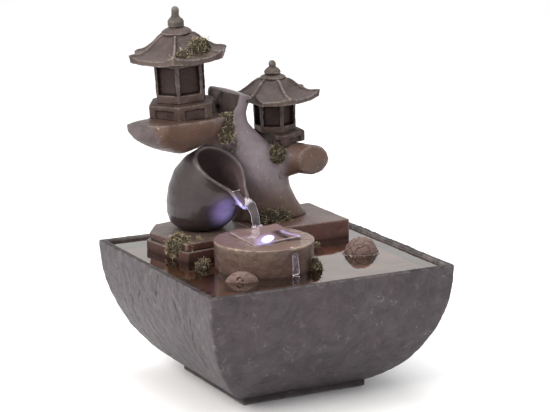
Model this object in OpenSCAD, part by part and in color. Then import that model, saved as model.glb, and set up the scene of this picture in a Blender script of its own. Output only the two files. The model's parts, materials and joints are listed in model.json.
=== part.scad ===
// Tabletop fountain: a square bowl with curved faces, and on its deck a carved trunk with two
// lanterns, a pouring jug and a lit stone. The origin is the middle of the foot, on the table.
// +X runs along the bowl's front edge, +Y to the back and +Z up. Millimetres.

/* [Bowl] */
// Outside length of each side of the square rim
bowl_side = 190; // [176:1:210]
// Height of the rim above the table
bowl_height = 94.5; // [90:0.5:104]
// Thickness of the walls, which is the width of the rim
wall = 4.5; // [3.5:0.5:5.5]
// Side of the square foot
foot_side = 98; // [94:1:106]
// Height of the plain band round the foot
foot_height = 5; // [4:0.5:7]
// Thickness of the floor above the foot band
floor_t = 5; // [4:0.5:7]
// Distance from the middle to the centre of each face's ellipse
curve_in = 28; // [22:1:32]
// Distance from the foot's edge to the edge of the non-slip sheet under it
sheet_inset = 10; // [8:0.5:14]
// Corner radius of the non-slip sheet
sheet_corner_r = 6; // [4:0.5:10]
// Thickness of the non-slip sheet
sheet_t = 1.6; // [1.2:0.1:2.4]
// How far the non-slip sheet stands below the foot
sheet_proud = 0.6; // [0.4:0.1:1]

/* [Deck] */
// Depth of the deck's top below the rim
deck_drop = 8.5; // [7:0.5:10]
// Thickness of the deck plate
deck_t = 3; // [2:0.5:4]
// Gap between the deck and the bowl's walls
deck_gap = 0.6; // [0.4:0.1:1.2]
// Width of the ledge in each corner that carries the deck
ledge_w = 20; // [14:1:24]
// Height of each ledge
ledge_h = 6; // [4:1:10]
// Length of each water slot
slot_l = 12; // [8:1:16]
// Width of each water slot
slot_w = 3; // [2:0.5:4]
// Distance between water slots
slot_pitch = 9; // [7:1:11]
// Width of the hatch over the pump
hatch_w = 84; // [78:1:88]
// Depth of the hatch, front to back
hatch_d = 53; // [50:1:55]

/* [Slates] */
// Height of the slate blocks above the deck
slate_h = 19; // [16:1:24]
// Length of the rear slate along the bowl's front edge
rear_slate_w = 78; // [74:1:80]
// Depth of the rear slate, front to back
rear_slate_d = 63; // [60:1:63]
// Thickness of the upper left slate
upper_slate_t = 5.5; // [4:0.5:8]
// Turn of the left slates about the vertical, in degrees
left_slate_turn = 8; // [4:1:10]
// Wall of the hollow under each slate
slate_wall = 6; // [4:0.5:7]
// Height of the lip that drops into the hatch
hatch_lip = 2.4; // [1:0.2:2.8]
// Gap between that lip and the hatch
lip_gap = 0.5; // [0.3:0.1:0.8]
// Thickness of that lip
lip_t = 3; // [2:0.5:4]

/* [Trunk] */
// Height of the trunk from the rear slate to the middle of its cut top
trunk_h = 97.5; // [90:0.5:100]
// Half width of the trunk's foot
trunk_foot_rx = 31; // [28:0.5:32]
// Half depth of the trunk's foot
trunk_foot_ry = 15; // [12:0.5:17]
// Height of the left limb's flat top above the slates
limb_top = 84; // [82:0.5:88]
// Length of the left limb, from the trunk to its tip
limb_l = 88; // [82:1:90]
// Reach of the left limb's front edge ahead of its keel at the tall lantern
limb_half = 33; // [31:0.5:35]
// Radius of the short limb's cut end
stub_r = 11.2; // [10:0.1:12]

/* [Jug] */
// Height of the lip above the slate that the jug stands on
jug_lip_h = 26; // [24:0.5:28]
// Half width of the jug's belly
jug_belly = 26.2; // [25:0.2:27]
// Radius of the jug's base
jug_base_r = 12; // [10.5:0.5:14]
// Thickness of the jug's wall
jug_wall = 2.6; // [2:0.2:3.4]
// Turn of the spout from straight ahead, in degrees
jug_turn = 23; // [18:0.5:26]

/* [Tall lantern] */
// Corner radius of the tall lantern's base
tall_base_r = 26; // [24.5:0.5:27]
// Height of the tall lantern's base
tall_base_h = 11.7; // [10:0.1:13]
// Corner radius of the tall lantern's light box
tall_box_r = 20; // [19:0.2:22]
// Height of the tall lantern's light box
tall_box_h = 29.5; // [27:0.5:33]
// Corner radius of the tall lantern's eaves
tall_roof_r = 38; // [35:0.5:40]
// Height of the tall lantern's roof
tall_roof_h = 18.6; // [16:0.2:22]
// Lean of the tall lantern to the left, in degrees
tall_lean = 3.5; // [0:0.5:5]

/* [Short lantern] */
// Corner radius of the short lantern's base
short_base_r = 22; // [20.5:0.5:23]
// Height of the short lantern's base
short_base_h = 9; // [7:0.5:11]
// Corner radius of the short lantern's light box
short_box_r = 16.3; // [15:0.1:17.5]
// Height of the short lantern's light box
short_box_h = 22.5; // [20:0.5:25]
// Corner radius of the short lantern's eaves
short_roof_r = 34.5; // [32:0.5:35]
// Height of the short lantern's roof
short_roof_h = 16.5; // [14:0.5:20]
// Lean of the short lantern to the left, in degrees
short_lean = 2.5; // [0:0.5:6]

/* [Light stone] */
// Top radius of the round stone
stone_r = 35.7; // [33:0.1:36.5]
// Bottom radius of the round stone
stone_foot_r = 34; // [31:0.5:35]
// Height of the round stone above the deck
stone_h = 26; // [24:0.5:30]
// Side of the clear square lens
lens_side = 37; // [34:0.5:39]
// Thickness of the lens
lens_t = 5; // [4:0.5:7]
// Depth of the pocket that the lens sits in
lens_pocket = 3; // [2:0.5:4]
// Gap round the lens in its pocket
lens_gap = 0.3; // [0.2:0.1:0.6]
// Thickness of the lens gasket
gasket_t = 0.8; // [0.5:0.1:1.2]
// Radius of the lamp's waterproof housing
lamp_r = 14; // [12:0.5:16]
// Height of the lamp's waterproof housing
lamp_h = 10; // [8:0.5:12]
// Radius of the lamp's circuit board
board_r = 8; // [7:0.5:9]
// Thickness of the lamp's circuit board
board_t = 1.6; // [1:0.2:2]

/* [Pump] */
// Length of the pump's motor block
motor_l = 30; // [26:1:34]
// Width of the pump
pump_w = 30; // [28:1:34]
// Height of the pump's body
pump_h = 28; // [26:1:32]
// Length of the impeller chamber block
chamber_l = 10; // [9:0.5:12]
// Radius of the impeller chamber
chamber_r = 10.5; // [9.5:0.5:11.5]
// Radius of the rotor magnet
rotor_r = 5.5; // [5:0.1:6.5]
// Running gap round the rotor and the impeller
rotor_gap = 0.5; // [0.3:0.1:0.8]
// Radius of the ceramic shaft
shaft_r = 1; // [0.8:0.1:1.2]
// Radial gap of the impeller on its shaft
shaft_gap = 0.05; // [0.03:0.01:0.1]
// Number of impeller vanes
vane_count = 6; // [4:1:8]
// Outside radius of the pump's nozzle
nozzle_r = 4; // [3.5:0.1:4.5]
// Height of the nozzle above the pump's body
nozzle_h = 12; // [10:1:14]
// Height of the suction cups
cup_h = 5; // [4:0.5:6]
// Travel of the flow slider
flow_travel = 6; // [4:0.5:7]
// Wall of the clear feed tube
tube_wall = 1.4; // [1:0.1:1.8]
// Radial gap of the feed tube on the nozzle
tube_gap = 0.08; // [0.05:0.01:0.1]
// Bend radius of the feed tube
tube_bend_r = 22; // [18:1:23]

/* [Power inlet] */
// Height of the power inlet's axis above the table
inlet_z = 62; // [56:1:66]
// Distance of the power inlet right of the middle
inlet_x = 55; // [46:1:60]
// Radius of the inlet's threaded body
inlet_r = 4; // [3.5:0.1:5]
// Radius of the inlet's outer flange
inlet_flange_r = 6; // [5.5:0.5:7]
// Thickness of the inlet's outer flange
inlet_flange_t = 2; // [1.5:0.5:3]
// Thickness of the inlet's seal
seal_t = 1; // [0.8:0.1:1.4]
// Radius of the pump's and the lamp's leads
lead_r = 1.5; // [1.2:0.1:1.6]

/* [Hidden] */
$fn = 48;

// Bowl values
curve_steps = 14;
floor_z = foot_height + floor_t;
curve_drop = (bowl_height - foot_height)
    / sqrt(1 - pow((foot_side / 2 - curve_in) / (bowl_side / 2 - curve_in), 2));
cavity_top_half = bowl_side / 2 - wall;
cavity_drop = (bowl_height - floor_z)
    / sqrt(1 - pow((foot_side / 2 - wall - curve_in) / (cavity_top_half - curve_in), 2));
sheet_recess_gap = 0.2;
sheet_chamfer = 0.4;

// Deck values
deck_top = bowl_height - deck_drop;
deck_low = deck_top - deck_t;
basin_half = cavity_half(deck_top);
slate_back_gap = 2.7;
slate_back_y = basin_half - slate_back_gap;
rear_slate_y = slate_back_y - rear_slate_d;
hatch_y = rear_slate_y + 2.5;
slot_count = 5;
slot_inset = 9;
lead_hole_r = 2 * lead_r;

// Slate values
slate_top = deck_top + slate_h;
rear_slate_x = -1;
left_slate_split = slate_top - upper_slate_t;
slate_seam_x = rear_slate_x;
left_slate_x = -63;
left_slate_y = rear_slate_y - 13.8;

// Trunk values: each station is x, y, height above the slate, half width, half depth and tilt
trunk_sides = 28;
trunk_x = 29.5;
trunk_y = rear_slate_y + 36;
trunk_stations = [
    [0, 0, 0, 1, 1, 0],
    [-1.3, -0.2, 0.058, 0.89, 0.95, 0],
    [-3, -0.5, 0.126, 0.79, 0.93, 0],
    [-5.7, -1.2, 0.23, 0.71, 0.92, 0],
    [-10.1, -1.5, 0.382, 0.72, 0.93, -4],
    [-17.5, -1, 0.508, 0.65, 0.92, -10],
    [-25.5, 0, 0.618, 0.54, 0.9, -14],
    [-31.4, 1.5, 0.722, 0.426, 0.87, -12],
    [-32.6, 3, 0.815, 0.426, 0.83, -4],
    [-31.6, 3.5, 0.905, 0.48, 0.83, 8],
    [-29.8, 4, 1, 0.54, 0.8, 17]
];
limb_z = slate_top + limb_top;
limb_joint_x = -4;
limb_y = trunk_y + 1.5;
limb_sides = 20;
// Left limb stations: share of its length from the joint, keel's shift in y, front and back reach,
// and drop
limb_stations = [
    [0, 0, 0.39, 13, 36],
    [0.1, 0, 0.7, 15, 29.5],
    [0.3, 2, 1.04, 16, 27],
    [0.47, -2, 0.985, 20, 29],
    [0.61, -8, 0.85, 20, 25.5],
    [0.75, -14, 0.74, 11, 21],
    [0.855, -16.5, 0.5, 9, 16.5],
    [0.93, -17.5, 0.33, 6, 12.5],
    [1, -17.5, 0.09, 2, 6]
];
limb_seat_h = 37;

// Short limb values
short_x = 39;
short_y = trunk_y + 8.5;
short_z = slate_top + 55;
short_turn = 23.7;
// Short limb route: each point from the middle of the trunk's foot
stub_route = [[-5.5, 3.5, 42], [6.5, 2.5, 42.5], [13.5, -3.5, 43.6], [19, -10.5, 44.6],
    [26, -22.5, 44.6], [31, -32.5, 44.4]];
stub_radii = [1.25, 1.45, 1.25, 1.04, 1, 1];
stub_cut_y = trunk_y - 22.5;
stub_sides = 20;
fork_joint_x = trunk_x + 0.5;

// Jug values: each station is the ring's centre x and z, half width, half length, tilt and pinch
jug_x = -31.3;
jug_y = rear_slate_y + 28.6;
jug_sides = 32;
jug_floor = 4;
jug_k = jug_lip_h / 26;
jug_stations = [
    [0, 0, jug_base_r, jug_base_r, 0, 0],
    [0, 1.8, jug_belly * 0.69, jug_belly * 0.69, 0, 0],
    [0.2, 6, jug_belly * 0.87, jug_belly * 0.87, 0, 0],
    [0.7, 12, jug_belly * 0.97, jug_belly * 0.97, 2, 0],
    [1.8, 19, jug_belly, jug_belly * 1.015, 6, 0.05],
    [4.5, 27, jug_belly * 0.99, jug_belly * 1.07, 13, 0.15],
    [9, 34.5, jug_belly * 0.96, jug_belly * 1.09, 22, 0.35],
    [15.5, 40, jug_belly * 0.94, jug_belly * 1.07, 31, 0.6],
    [24, 43.5, jug_belly * 0.925, jug_belly * 1.03, 40.3, 0.82]
];

// Lantern values
tall_x = -42.8;
tall_y = limb_y - 5;
tall_cap_r = 11.3;
tall_cap_h = 5.2;
tall_finial_h = 14.8;
short_cap_r = 10;
short_cap_h = 3.4;
short_finial_h = 10;
panel_t = 2.2;
pillar_w = 3.6;
base_chamfer = 1;
scribe_h = 3;
roof_side_steps = 4;
tall_lifts = [0.6, 0.4, 0, 3.6, 4, 3.4];
short_lifts = [1.2, 0.6, 0, 2, 2.4, 3.4];

// Light stone values
stone_x = -20;
stone_y = rear_slate_y - 50.5;
front_stone_x = stone_x - 32;
front_stone_y = stone_y - 30;
right_stone_x = basin_half - 31.2;
right_stone_y = -25;
stone_reach = 20;
stone_top = deck_top + stone_h;
lens_dx = 4;
lens_dy = 5;
lens_tilt_x = 2;
lens_tilt_y = -4;
lamp_ceiling = stone_top - 12;
lamp_wall = 2;
lamp_seat_gap = 0.3;
board_gap = 0.3;
emitter_r = 2.6;
light_bore_r = board_r;

// Pump values: the pump's own frame has its origin below the nozzle, on the suction cups
nozzle_x = -12;
cup_r = 5;
cup_dy = 5.5;
cup_wall_gap = 0.5;
nozzle_y = foot_side / 2 - wall - cup_wall_gap - cup_r - cup_dy;
pump_z = floor_z + cup_h;
pump_axis_z = pump_h / 2;
chamber_half = chamber_l / 2;
cover_t = 5;
cover_wall = 2;
nozzle_bore_r = nozzle_r - 1.2;
magnet_l = 18;
impeller_hub_r = 3;
well_l = magnet_l + 3;
shaft_seat = 3;
vane_t = 1.2;
tube_in_r = nozzle_r + tube_gap;
tube_out_r = tube_in_r + tube_wall;
tube_overlap = nozzle_h - 2;
tube_bend = 60;
tube_bend_steps = 6;
tube_sides = 24;
tube_hole_gap = 0.3;

// Inlet values
inlet_flat_gap = 0.4;
inlet_out_y = face_half(inlet_z - inlet_flange_r - inlet_flat_gap) - inlet_flat_gap;
inlet_boss_r = inlet_flange_r + 2;
inlet_in_y = cavity_half(inlet_z - inlet_boss_r) - 2;
inlet_nut_t = 3.5;
inlet_tail_l = 5;
inlet_thread_gap = 0.1;
socket_r = 2.75;
socket_depth = 9;
inlet_end_y = inlet_in_y - inlet_nut_t - inlet_tail_l;
lead_spread = 2;
lead_sides = 8;
pump_lead_route = [
    [motor_end_x(), nozzle_y, pump_z + pump_axis_z], [29, nozzle_y + 0.5, 29], [38, 38, 31],
    [46, 45, 38], [51, 54, 48], [inlet_x - lead_spread, inlet_end_y - 10, inlet_z - 5],
    [inlet_x - lead_spread, inlet_end_y - 4, inlet_z], [inlet_x - lead_spread, inlet_end_y, inlet_z]
];
lamp_lead_route = [
    [stone_x, stone_y, lamp_ceiling - lamp_h], [stone_x, stone_y, deck_top - 2],
    [stone_x + 2, stone_y, deck_top - 12], [-8, -25, deck_top - 20], [6, -20, 60], [22, -8, 56],
    [36, 8, 54], [46, 26, 55], [53, 44, 58], [inlet_x + lead_spread, inlet_end_y - 14, inlet_z - 1],
    [inlet_x + lead_spread, inlet_end_y - 6, inlet_z], [inlet_x + lead_spread, inlet_end_y, inlet_z]
];

function motor_end_x() = nozzle_x + chamber_half + motor_l;

// Half width of the bowl's outside and of its cavity at a height
function face_half(z) =
    curve_in + (bowl_side / 2 - curve_in) * sqrt(1 - pow((bowl_height - z) / curve_drop, 2));
function cavity_half(z) =
    curve_in + (cavity_top_half - curve_in) * sqrt(1 - pow((bowl_height - z) / cavity_drop, 2));

// Points of a face's quarter ellipse, from the low end up to the rim
function face_points(top_half, drop, z_low) =
    let(low = asin((bowl_height - z_low) / drop))
    [for (i = [0 : curve_steps])
        let(a = low * (1 - i / curve_steps))
        [curve_in + (top_half - curve_in) * cos(a), bowl_height - drop * sin(a)]];

// Outline of the vault seen from one side
function vault_outline(top_half, drop, z_low, above) =
    let(side = face_points(top_half, drop, z_low),
        right = above > 0 ? concat(side, [[top_half, bowl_height + above]]) : side,
        n = len(right))
    concat(right, [for (i = [n - 1 : -1 : 0]) [-right[i][0], right[i][1]]]);

// A point turned about the Y axis, then moved
function tilted(p, tilt, c) =
    [c[0] + p[0] * cos(tilt) + p[2] * sin(tilt),
     c[1] + p[1],
     c[2] - p[0] * sin(tilt) + p[2] * cos(tilt)];

// A level or tilted ellipse, with a faint three-lobed swell for carved wood
function oval_ring(c, rx, ry, tilt, sides, swell = 0) =
    [for (i = [0 : sides - 1])
        let(a = 360 * i / sides, k = 1 + swell * cos(3 * a + 2 * c[2]))
        tilted([rx * k * cos(a), ry * k * sin(a), 0], tilt, c)];

// Solid through a list of rings that all have the same number of points
module loft(rings) {
    n = len(rings[0]);
    m = len(rings);
    ends = [for (r = [rings[0], rings[m - 1]]) [for (k = [0 : 2]) mean([for (p = r) p[k]])]];
    points = concat([for (r = rings) for (p = r) p], ends);
    walls = [for (j = [0 : m - 2], i = [0 : n - 1])
        let(a = j * n + i, b = j * n + (i + 1) % n)
        each [[a, a + n, b], [b, a + n, b + n]]];
    low_cap = [for (i = [0 : n - 1]) [i, (i + 1) % n, n * m]];
    high_cap = [for (i = [0 : n - 1]) [(m - 1) * n + (i + 1) % n, (m - 1) * n + i, n * m + 1]];
    polyhedron(points, concat(walls, low_cap, high_cap));
}

// Draws an ellipse's sides in, towards a keel
function eased(k) = sign(k) * pow(abs(k), 1.3);

function mean(v) = sum(v) / len(v);
function sum(v, i = 0) = i < len(v) ? v[i] + sum(v, i + 1) : 0;
function unit(v) = v / norm(v);

// Round rings square to a route; the side vector is one that the route never runs along
function route_rings(route, radii, sides, side) =
    [for (i = [0 : len(route) - 1])
        let(a = route[max(i - 1, 0)], b = route[min(i + 1, len(route) - 1)],
            t = unit(b - a), u = unit(cross(side, t)), v = cross(t, u))
        [for (k = [0 : sides - 1])
            route[i] + radii[i] * (u * cos(360 * k / sides) + v * sin(360 * k / sides))]];

function same(v, n) = [for (i = [1 : n]) v];

// A route with extra points on a smooth curve through its own points
function smooth(route, steps = 3) =
    concat([for (i = [0 : len(route) - 2], s = [0 : steps - 1])
        let(p0 = route[max(i - 1, 0)], p1 = route[i], p2 = route[i + 1],
            p3 = route[min(i + 2, len(route) - 1)], t = s / steps)
        0.5 * (2 * p1 + (p2 - p0) * t + (2 * p0 - 5 * p1 + 4 * p2 - p3) * t * t
            + (3 * p1 - p0 - 3 * p2 + p3) * t * t * t)],
        [route[len(route) - 1]]);

// A low lumpy cushion of moss
module tuft(c, rx, ry, rz, phase) {
    sides = 14;
    bands = 8;
    translate(c)
        loft([for (j = [1 : bands - 1])
            let(b = -90 + 180 * j / bands)
            [for (i = [0 : sides - 1])
                let(a = -360 * i / sides, k = 1 + 0.1 * sin(5 * a + phase) * cos(4 * b + phase))
                [rx * k * cos(a) * cos(b), -ry * k * sin(a) * cos(b), rz * k * sin(b)]]]);
}

module vault(top_half, drop, z_low, above = 0) {
    reach = 2 * top_half + 2;
    intersection() {
        rotate([90, 0, 0])
            linear_extrude(reach, center = true)
                polygon(vault_outline(top_half, drop, z_low, above));
        rotate([90, 0, 90])
            linear_extrude(reach, center = true)
                polygon(vault_outline(top_half, drop, z_low, above));
    }
}

module at_corners(offset) {
    for (x = [-1, 1], y = [-1, 1])
        translate([x * offset, y * offset, 0])
            children();
}

module at_inlet(y) {
    translate([inlet_x, y, inlet_z])
        rotate([-90, 0, 0])
            children();
}

module bowl() {
    ledge_mid = cavity_half(deck_low) - ledge_w / 2;
    color("dimgray")
        difference() {
            union() {
                vault(bowl_side / 2, curve_drop, foot_height);
                translate([-foot_side / 2, -foot_side / 2, sheet_proud])
                    cube([foot_side, foot_side, foot_height + 1 - sheet_proud]);
            }
            difference() {
                vault(cavity_top_half, cavity_drop, floor_z, wall);
                at_corners(ledge_mid + ledge_w / 2)
                    translate([0, 0, deck_low - ledge_h / 2])
                        cube([2 * ledge_w, 2 * ledge_w, ledge_h], center = true);
                at_inlet(inlet_in_y)
                    cylinder(h = 2 * wall + 4, r = inlet_boss_r);
            }
            linear_extrude(sheet_t)
                sheet_outline(sheet_recess_gap);
            at_inlet(0)
                cylinder(h = bowl_side, r = inlet_r + inlet_thread_gap);
            at_inlet(inlet_out_y)
                cylinder(h = bowl_side, r = inlet_flange_r + inlet_flat_gap);
        }
}

module sheet_outline(grow) {
    offset(r = sheet_corner_r + grow)
        square(foot_side - 2 * (sheet_inset + sheet_corner_r), center = true);
}

module foot_sheet() {
    color("black")
        hull() {
            linear_extrude(sheet_t)
                sheet_outline(-sheet_chamfer);
            translate([0, 0, sheet_chamfer])
                linear_extrude(sheet_t - sheet_chamfer)
                    sheet_outline(0);
        }
}

module deck() {
    half = cavity_half(deck_low) - deck_gap;
    color("sienna")
        difference() {
            translate([-half, -half, deck_low])
                cube([2 * half, 2 * half, deck_t]);
            translate([-hatch_w / 2, hatch_y, deck_low - 1])
                cube([hatch_w, hatch_d, deck_t + 2]);
            translate([stone_x, stone_y, deck_low - 1])
                cylinder(h = deck_t + 2, r = lead_hole_r);
            for (i = [0 : slot_count - 1], side = [-1, 1])
                translate([side * (half - slot_inset) - slot_l / 2,
                    -half + slot_inset + i * slot_pitch, deck_low - 1])
                    cube([slot_l, slot_w, deck_t + 2]);
        }
}

module power_inlet() {
    flange_y = inlet_out_y + seal_t;
    color("black")
        difference() {
            union() {
                at_inlet(flange_y)
                    cylinder(h = inlet_flange_t, r = inlet_flange_r);
                at_inlet(inlet_end_y)
                    cylinder(h = flange_y + 1 - inlet_end_y, r = inlet_r);
            }
            difference() {
                at_inlet(flange_y + inlet_flange_t - socket_depth)
                    cylinder(h = socket_depth + 1, r = socket_r);
                at_inlet(inlet_end_y)
                    cylinder(h = flange_y + 1 - inlet_end_y, r = shaft_r);
            }
        }
}

module inlet_seal() {
    color("darkslategray")
        difference() {
            at_inlet(inlet_out_y)
                cylinder(h = seal_t, r = inlet_flange_r - 0.3);
            at_inlet(inlet_out_y - 1)
                cylinder(h = seal_t + 2, r = inlet_r + inlet_thread_gap);
        }
}

module inlet_nut() {
    color("silver")
        difference() {
            at_inlet(inlet_in_y - inlet_nut_t)
                cylinder(h = inlet_nut_t, r = inlet_boss_r - 1, $fn = 6);
            at_inlet(inlet_in_y - inlet_nut_t - 1)
                cylinder(h = inlet_nut_t + 2, r = inlet_r + inlet_thread_gap);
        }
}

module at_pump() {
    translate([nozzle_x, nozzle_y, pump_z])
        children();
}

module along_pump_axis(x) {
    at_pump()
        translate([x, 0, pump_axis_z])
            rotate([0, 90, 0])
                children();
}

module pump_body() {
    body_l = chamber_l + motor_l;
    nozzle_top = pump_h + nozzle_h;
    color("darkslategray")
        difference() {
            union() {
                at_pump()
                    translate([-chamber_half, -pump_w / 2, 0])
                        cube([body_l, pump_w, pump_h]);
                at_pump()
                    cylinder(h = nozzle_top, r = nozzle_r);
            }
            along_pump_axis(-chamber_half - 1)
                cylinder(h = chamber_l - 1, r = chamber_r);
            along_pump_axis(-chamber_half)
                cylinder(h = chamber_l + well_l, r = rotor_r + rotor_gap);
            along_pump_axis(chamber_half + well_l - 1)
                cylinder(h = shaft_seat + 1, r = shaft_r);
            at_pump()
                translate([0, 0, pump_axis_z])
                    cylinder(h = nozzle_top, r = nozzle_bore_r);
        }
}

module pump_cover() {
    inner_w = pump_w - 2 * cover_wall;
    inner_h = pump_h - 2 * cover_wall;
    front_x = -chamber_half - cover_t - cover_wall;
    color("black")
        difference() {
            at_pump()
                translate([front_x, -pump_w / 2, 0])
                    cube([cover_t + cover_wall, pump_w, pump_h]);
            difference() {
                at_pump()
                    translate([front_x + cover_wall, -inner_w / 2, cover_wall])
                        cube([cover_t + 1, inner_w, inner_h]);
                along_pump_axis(front_x)
                    cylinder(h = cover_t + cover_wall, r = impeller_hub_r);
                for (y = [-inner_w / 2, inner_w / 2 - cover_wall])
                    at_pump()
                        translate([front_x, y, cover_wall])
                            cube([cover_t + cover_wall, cover_wall, inner_h]);
            }
            along_pump_axis(-chamber_half - shaft_seat)
                cylinder(h = shaft_seat + 1, r = shaft_r);
            for (i = [-2 : 2])
                if (i != 0)
                    at_pump()
                        translate([front_x - 1, -inner_w / 2 + 3, pump_axis_z + i * 4.4 - 0.8])
                            cube([cover_wall + 2, inner_w - 6, 1.6]);
        }
}

module suction_cups() {
    color("gray")
        for (x = [0, motor_l - 2], y = [-1, 1])
            at_pump()
                translate([x, y * cup_dy, -cup_h])
                    cylinder(h = cup_h, r1 = cup_r, r2 = cup_r / 2);
}

module impeller_shaft() {
    color("ivory")
        along_pump_axis(-chamber_half - shaft_seat)
            cylinder(h = chamber_l + well_l + 2 * shaft_seat, r = shaft_r);
}

module impeller() {
    vane_l = chamber_l - 4;
    color("white")
        difference() {
            union() {
                along_pump_axis(-chamber_half + 1)
                    cylinder(h = vane_l, r = impeller_hub_r);
                for (i = [0 : vane_count - 1])
                    along_pump_axis(-chamber_half + 1)
                        rotate([0, 0, i * 360 / vane_count])
                            translate([impeller_hub_r - 1, -vane_t / 2, 0])
                                cube([chamber_r - impeller_hub_r + 1 - 2 * rotor_gap, vane_t, vane_l]);
                along_pump_axis(-chamber_half + vane_l)
                    cylinder(h = 4, r = impeller_hub_r);
            }
            along_pump_axis(-chamber_half - 1)
                cylinder(h = chamber_l + 4, r = shaft_r + shaft_gap);
        }
}

module rotor_magnet() {
    magnet_x = chamber_half + 1;
    color("dimgray")
        difference() {
            along_pump_axis(magnet_x)
                cylinder(h = magnet_l, r = rotor_r);
            along_pump_axis(magnet_x - 1)
                cylinder(h = magnet_l + 2, r = shaft_r + shaft_gap);
        }
}

module flow_slider() {
    slider_x = -chamber_half - cover_t - cover_wall;
    color("orange")
        at_pump()
            union() {
                translate([slider_x - 2.3, -pump_w / 2 + 3, pump_axis_z + 3])
                    cube([2, pump_w - 6 - flow_travel, 8]);
                translate([slider_x - 4.3, -3, pump_axis_z + 5])
                    cube([2.5, 3, 4]);
            }
}

module lead(route) {
    path = smooth(route);
    loft(route_rings(path, same(lead_r, len(path)), lead_sides, [1, -1, 0]));
}

module pump_lead() {
    color("black")
        lead(pump_lead_route);
}

module lamp_lead() {
    color("black")
        lead(lamp_lead_route);
}

module at_stone(z) {
    translate([stone_x, stone_y, z])
        children();
}

// The lens and its pocket share this place and slant
module at_lens(z) {
    translate([stone_x + lens_dx, stone_y + lens_dy, stone_top])
        rotate([lens_tilt_x, lens_tilt_y, 0])
            translate([0, 0, z])
                children();
}

module light_stone() {
    color("rosybrown")
        difference() {
            at_stone(deck_top)
                cylinder(h = stone_h, r1 = stone_foot_r, r2 = stone_r);
            at_lens(-lens_pocket - gasket_t)
                translate([-lens_side / 2 - lens_gap, -lens_side / 2 - lens_gap, 0])
                    cube([lens_side + 2 * lens_gap, lens_side + 2 * lens_gap, 4 * lens_t]);
            at_stone(deck_top - 1)
                cylinder(h = lamp_ceiling - deck_top + 1, r = lamp_r + lamp_seat_gap);
            at_stone(lamp_ceiling - 1)
                cylinder(h = stone_h, r = light_bore_r);
        }
}

module lens() {
    color("lightcyan", 0.5)
        at_lens(-lens_pocket)
            translate([-lens_side / 2, -lens_side / 2, 0])
                cube([lens_side, lens_side, lens_t]);
}

module lens_gasket() {
    hole = lens_side - 6;
    color("white")
        at_lens(-lens_pocket - gasket_t)
            difference() {
                translate([-lens_side / 2, -lens_side / 2, 0])
                    cube([lens_side, lens_side, gasket_t]);
                translate([-hole / 2, -hole / 2, -1])
                    cube([hole, hole, gasket_t + 2]);
            }
}

module lamp_housing() {
    color("black")
        difference() {
            at_stone(lamp_ceiling - lamp_h)
                cylinder(h = lamp_h, r = lamp_r);
            at_stone(lamp_ceiling - lamp_h + lamp_wall)
                cylinder(h = lamp_h, r = board_r + board_gap);
        }
}

module lamp_board() {
    color("green")
        at_stone(lamp_ceiling - lamp_h + lamp_wall)
            cylinder(h = board_t, r = board_r);
}

module lamp_emitter() {
    emitter_z = lamp_ceiling - lamp_h + lamp_wall + board_t;
    color("white")
        intersection() {
            at_stone(emitter_z)
                sphere(emitter_r);
            at_stone(emitter_z)
                cylinder(h = emitter_r, r = emitter_r);
        }
}

module front_stone() {
    color("tan")
        intersection() {
            translate([front_stone_x, front_stone_y, 0])
                rotate([0, 0, -27])
                    loft([for (j = [1 : 11])
                        let(b = -90 + 15 * j)
                        [for (i = [0 : 23])
                            let(a = 15 * i)
                            [12.4 * cos(a) * cos(b), 5.6 * sin(a) * cos(b),
                                deck_top + 2.5 + 11 * sin(b)]]]);
            translate([front_stone_x - stone_reach, front_stone_y - stone_reach, deck_top])
                cube(2 * stone_reach);
        }
}

module right_stone() {
    color("rosybrown")
        intersection() {
            translate([right_stone_x, right_stone_y, 0])
                loft([for (j = [1 : 11])
                    let(b = -90 + 15 * j)
                    [for (i = [0 : 23])
                        let(a = 15 * i)
                        [13.5 * cos(a) * cos(b), 11.5 * sin(a) * cos(b),
                            deck_top + 3 + 15 * sin(b)]]]);
            translate([right_stone_x - stone_reach, right_stone_y - stone_reach, deck_top])
                cube(2 * stone_reach);
        }
}

module waterline_moss() {
    color("olivedrab")
        difference() {
            union() {
                tuft([stone_x - 39, stone_y + 19, deck_top + 4.5], 6.5, 5.5, 8, 0);
                tuft([stone_x + 27.5, stone_y - 26, deck_top + 4.5], 5, 5, 11, 80);
                tuft([41, rear_slate_y - 12.5, deck_top + 2], 5, 4, 7, 150);
            }
            translate([-bowl_side / 2, -bowl_side / 2, deck_top - 20])
                cube([bowl_side, bowl_side, 20]);
            at_stone(deck_top)
                cylinder(h = stone_h, r1 = stone_foot_r, r2 = stone_r);
        }
}

module rear_slate() {
    pocket_w = rear_slate_w - 2 * slate_wall;
    pocket_d = rear_slate_d - 2 * slate_wall;
    rib_x = rear_slate_x + slate_wall;
    color("saddlebrown")
        difference() {
            union() {
                translate([rear_slate_x, rear_slate_y, deck_top])
                    cube([rear_slate_w, rear_slate_d, slate_h]);
                translate([rib_x, hatch_y + lip_gap, deck_top - hatch_lip])
                    cube([hatch_w / 2 - lip_gap - rib_x, lip_t, hatch_lip + 1]);
            }
            translate([rear_slate_x + slate_wall, rear_slate_y + slate_wall, deck_top - 1])
                cube([pocket_w, pocket_d, slate_h + 1 - slate_wall]);
        }
}

// Outline of the left slates, grown on the outer sides by an amount
function left_outline(grow) =
    let(c = cos(left_slate_turn), s = sin(left_slate_turn), x = left_slate_x, y = left_slate_y,
        seam = slate_seam_x - x)
    [[slate_seam_x, y + seam * s / c - grow],
     [slate_seam_x, slate_back_y - 3],
     [x + 19, slate_back_y - 5],
     [x + 7, slate_back_y - 8],
     [x - 49 * s - grow, y + 49 * c],
     [x - 27 * s - grow, y + 27 * c],
     [x - 2 * s - grow, y + 4],
     [x, y - grow]];

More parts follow.
